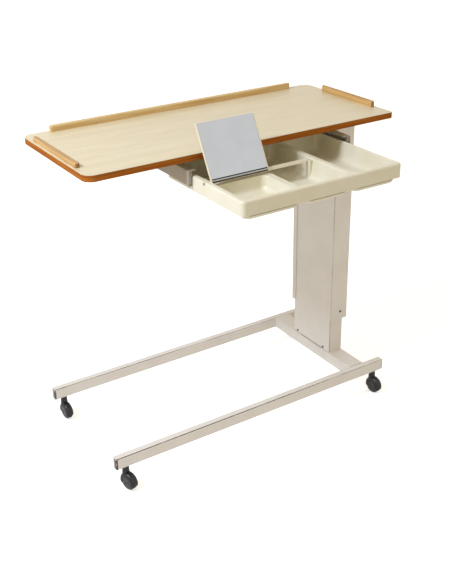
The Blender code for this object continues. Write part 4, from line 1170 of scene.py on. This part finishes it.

# %% Painted shade below the skirt
# The bowls' fronts just below the skirt are darkened as painted shade under the skirt.
PAINTED_SHADE_BAND = 0.0065
PAINTED_SHADE_LEVEL = 0.7
LOOKS_FORWARD = 0.3

painted_shade_foot = tray_at.z - SKIRT_HEIGHT - PAINTED_SHADE_BAND
split(tray, Z, painted_shade_foot)


def shade_under_skirt(middle, normal):
    """Painted shade on the bowls' fronts, just below the skirt."""
    across, behind, rise = middle - tray_at
    on_bowl = TRAY_WALL < behind < RIM_WIDTH and abs(across) < tray_half - FRONT_CORNER and rise < -RIM_ROUND
    return PAINTED_SHADE_LEVEL if on_bowl and middle.z > painted_shade_foot and normal.y < -LOOKS_FORWARD else 0.0


paint_mask(tray, "painted_shade", shade_under_skirt)
dress(tray, cream_plastic, "tray", "drawer", "drawer_tray")

# %% [markdown]
# ## Mirror lid
#
# The lid is a plastic back with two side lips, a silvered glass between them, and an aluminium clip that
# holds the glass along its foot. It could be modelled as it leans, but then no face would lie along an axis.
# So every piece is modelled upright about the hinge and then leaned back. The lips are left when the glass's
# seat is carved out.

# %% Back
MIRROR_LEAN = radians(28)
MIRROR_LEFT = -0.228
MIRROR_RIGHT = -0.057
MIRROR_FOOT = 0.004
MIRROR_HEIGHT = 0.146
MIRROR_LIP = 0.003
BACK_FACE = -0.0023
PANEL_FACE = -0.0045
LIP_FACE = -0.0072
LID_EDGE = 0.0012
LID_EDGE_STEPS = 4

hinge_at = tray_at + Vector((0, AXIS_BACK, -AXIS_DROP))
lean = Matrix.Translation(hinge_at) @ Matrix.Rotation(-MIRROR_LEAN, 4, "X")


def every_edge(middle, direction):
    """A test that every edge passes."""
    return True


lid = cube("mirror_lid", (MIRROR_LEFT, LIP_FACE, -MIRROR_FOOT), (MIRROR_RIGHT, BACK_FACE, MIRROR_HEIGHT))
round_edges(lid, LID_EDGE, LID_EDGE_STEPS, every_edge)
carve(lid, cube("glass_seat", (MIRROR_LEFT + MIRROR_LIP, LIP_FACE - CUT_PAST, -MIRROR_FOOT - CUT_PAST),
                (MIRROR_RIGHT - MIRROR_LIP, PANEL_FACE, MIRROR_HEIGHT + CUT_PAST)))
dress(place(lid, lean), cream_plastic, "tray", "mirror", "mirror_back")

# %% Clip and glass
SEAT = 0.0003
CLIP_TOP = 0.0025
CLIP_EDGE = 0.0006
CLIP_EDGE_STEPS = 3
PAINTED_SHADE_TOP = -0.0010
GLASS_FACE = -0.0068
GLASS_EDGE = 0.0005
GLASS_EDGE_STEPS = 2
GAP_SHADE_HEIGHT = 0.0028      # painted shade reaches up to this far above the clip

gap_shade_top = CLIP_TOP + GAP_SHADE_HEIGHT
inner_left = MIRROR_LEFT + MIRROR_LIP + SEAT
inner_right = MIRROR_RIGHT - MIRROR_LIP - SEAT
clip = cube("mirror_foot_clip", (inner_left, LIP_FACE, -MIRROR_FOOT),
            (inner_right, PANEL_FACE - SEAT, CLIP_TOP))
round_edges(clip, CLIP_EDGE, CLIP_EDGE_STEPS, every_edge)
# The clip's lower part is darkened as painted shade under the mirror's foot.
split(clip, Z, PAINTED_SHADE_TOP)
paint_mask(clip, "painted_shade", lambda middle, normal: float(middle.z < PAINTED_SHADE_TOP))
dress(place(clip, lean), aluminium, "aluminium", "mirror", "mirror_clip")

glass = cube("mirror_plate", (inner_left, GLASS_FACE, CLIP_TOP + SEAT),
             (inner_right, PANEL_FACE - SEAT, MIRROR_HEIGHT))
round_edges(glass, GLASS_EDGE, GLASS_EDGE_STEPS, every_edge)
# The glass's foot is darkened as painted shade of the gap above the clip.
split(glass, Z, gap_shade_top)
paint_mask(glass, "painted_gap_shade", lambda middle, normal: float(middle.z < gap_shade_top))
dress(place(glass, lean), mirror_glass, "mirror", "mirror", "mirror_glass")

# %% [markdown]
# ## Mirror bar
#
# The lid turns on a flat moulded bar with a round pin at each end, and a steel head is pushed on the left
# pin. A round rod would be simpler, but the real bar is flat, and its pins show in the slot and at the tray's
# side.

# %% Bar and head
BAR_LEFT = -0.2278
BAR_RIGHT = 0.067
BAR_HALF_WIDTH = 0.005
BAR_HALF_THICK = 0.002
BAR_EDGE = 0.0012
BAR_EDGE_STEPS = 4
PIN_RADIUS = 0.0025
PIN_SPANS = ((-0.2453, -0.2233), (0.0575, 0.0755))
HEAD_EDGE = 0.0006
HEAD_EDGE_STEPS = 3

bar = cube("mirror_hinge_bar", (BAR_LEFT, -BAR_HALF_THICK, -BAR_HALF_WIDTH),
           (BAR_RIGHT, BAR_HALF_THICK, BAR_HALF_WIDTH))
round_edges(bar, BAR_EDGE, BAR_EDGE_STEPS, every_edge)
for start, end in PIN_SPANS:
    weld(bar, cylinder("pin", ((start + end) / 2, 0, 0), PIN_RADIUS, end - start, TURN_TO_X))
dress(place(bar, lean), cream_plastic, "tray", "mirror", "mirror_bar")

low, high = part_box("mirror_pivot_head")
head = cylinder("mirror_pivot_cap", (low + high) / 2, (high.z - low.z) / 2, high.x - low.x, TURN_TO_X)
round_edges(head, HEAD_EDGE, HEAD_EDGE_STEPS, lies_at(X, low.x))
dress(head, steel, "steel", "mirror", "mirror_pivot_head")

# %% [markdown]
# ## Pieces that keep their engineering shape
#
# Runners, slides, arms, guides, gas spring and release lever hardly show. They could be modelled again, but
# their shape is right as it is, so they only get the finish of the real part, except that the runners' enamel
# is painted darker as shade under the top.

# %% Coat the rest
coat(enamel, "head_plate", "top_arm_front", "top_arm_back")
# The runners' enamel is painted darker as shade under the top.
coat(shade_darkened_enamel, "runner_left", "runner_right")
coat(steel, "gas_spring_rod", "lever_bracket", "lever_pin", "release_pin", "drawer_slide_left",
     "drawer_slide_right", "drawer_back_bar")
coat(dark_enamel, "gas_spring_cylinder", "release_lever")
coat(natural_nylon, "mast_guide_cap", "sleeve_guide")
coat(laminate, "top_board")

# %% [markdown]
# ## Stage and light
#
# The photograph has a white ground and soft light from the left. More light would make the ground white, but
# it would wash out the cream plastic too. So the floor glows a little for the camera alone, the air is white
# only to the camera and in reflections, and the table is lit by the air, a cool key from the left and a weak,
# warm fill.

# %% Floor
FLOOR_SIZE = 12.0
FLOOR_GLOW = 0.55

bpy.ops.object.select_all(action="DESELECT")
bpy.ops.mesh.primitive_plane_add(size=FLOOR_SIZE)
floor = name_active("floor")


def pale_floor(tree):
    """Matt studio paper: pale, hardly shaded, and lifted towards white where the camera sees it."""
    shade = pattern(tree, 500, detail=1.0)
    seen = add_node(tree, "LightPath", out="Is Camera Ray")
    paper = add_node(tree, "ValToRGB", {"Fac": shade}, stops=[(0.3, "#F2F1EF"), (0.7, "#F5F4F2")])
    return {"Base Color": paper,
            "Emission Strength": add_node(tree, "Math", {0: seen, 1: FLOOR_GLOW}, operation="MULTIPLY")}


floor.data.materials.append(material("pale_floor", pale_floor, constants={
    "Roughness": 0.9, "Emission Color": (1, 1, 1, 1)}))
floor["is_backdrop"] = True


# %% Lamps and air
def soft_lamp(name, at, aim, width, power, tint):
    """A square lamp that looks at a point."""
    bpy.ops.object.light_add(type="AREA", location=at)
    lamp = name_active(name)
    lamp.data.size = width
    lamp.data.energy = power
    lamp.data.color = colour(tint)[:3]
    direction = Vector(aim) - Vector(at)
    lamp.rotation_euler = direction.to_track_quat("-Z", "Y").to_euler()
    print(f"Lamp {name}: {power} W, {width} m wide")


soft_lamp("key", at=(-2.3, -0.2, 2.6), aim=(0.0, -0.2, 0.8), width=0.6, power=77, tint="#DEE9FF")
soft_lamp("fill", at=(0.6, -3.0, 1.3), aim=(0.38, 0.0, 0.1), width=2.0, power=2.8, tint="#FFF0D8")

world = bpy.data.worlds.new("studio")
scene.world = world
world.use_nodes = True
air = world.node_tree
seen = add_node(air, "Math", {0: add_node(air, "LightPath", out="Is Camera Ray"),
                              1: add_node(air, "LightPath", out="Is Glossy Ray")}, operation="MAXIMUM")
strength = add_node(air, "MapRange", {"Value": seen, "To Min": 0.65, "To Max": 1.0})
tint = add_node(air, "Mix", {FACTOR: seen, FIRST: "#FFF4E2", SECOND: "#FFFFFF"}, **MIX_COLOURS)
for key, value in (("Strength", strength), ("Color", tint)):
    air.links.new(value, air.nodes["Background"].inputs[key])

# %% [markdown]
# ## Finish
#
# The dressed table has to stay the size of the engineering model. That could be checked by eye, but two boxes
# are surer. The last cell prints the size of both.

# %% Finish
size = {"cad": cad_box, "visual": [list(corner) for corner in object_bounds()]}
for label, (low, high) in size.items():
    print(label, "size in metres:", [round(top - foot, 4) for foot, top in zip(low, high)])
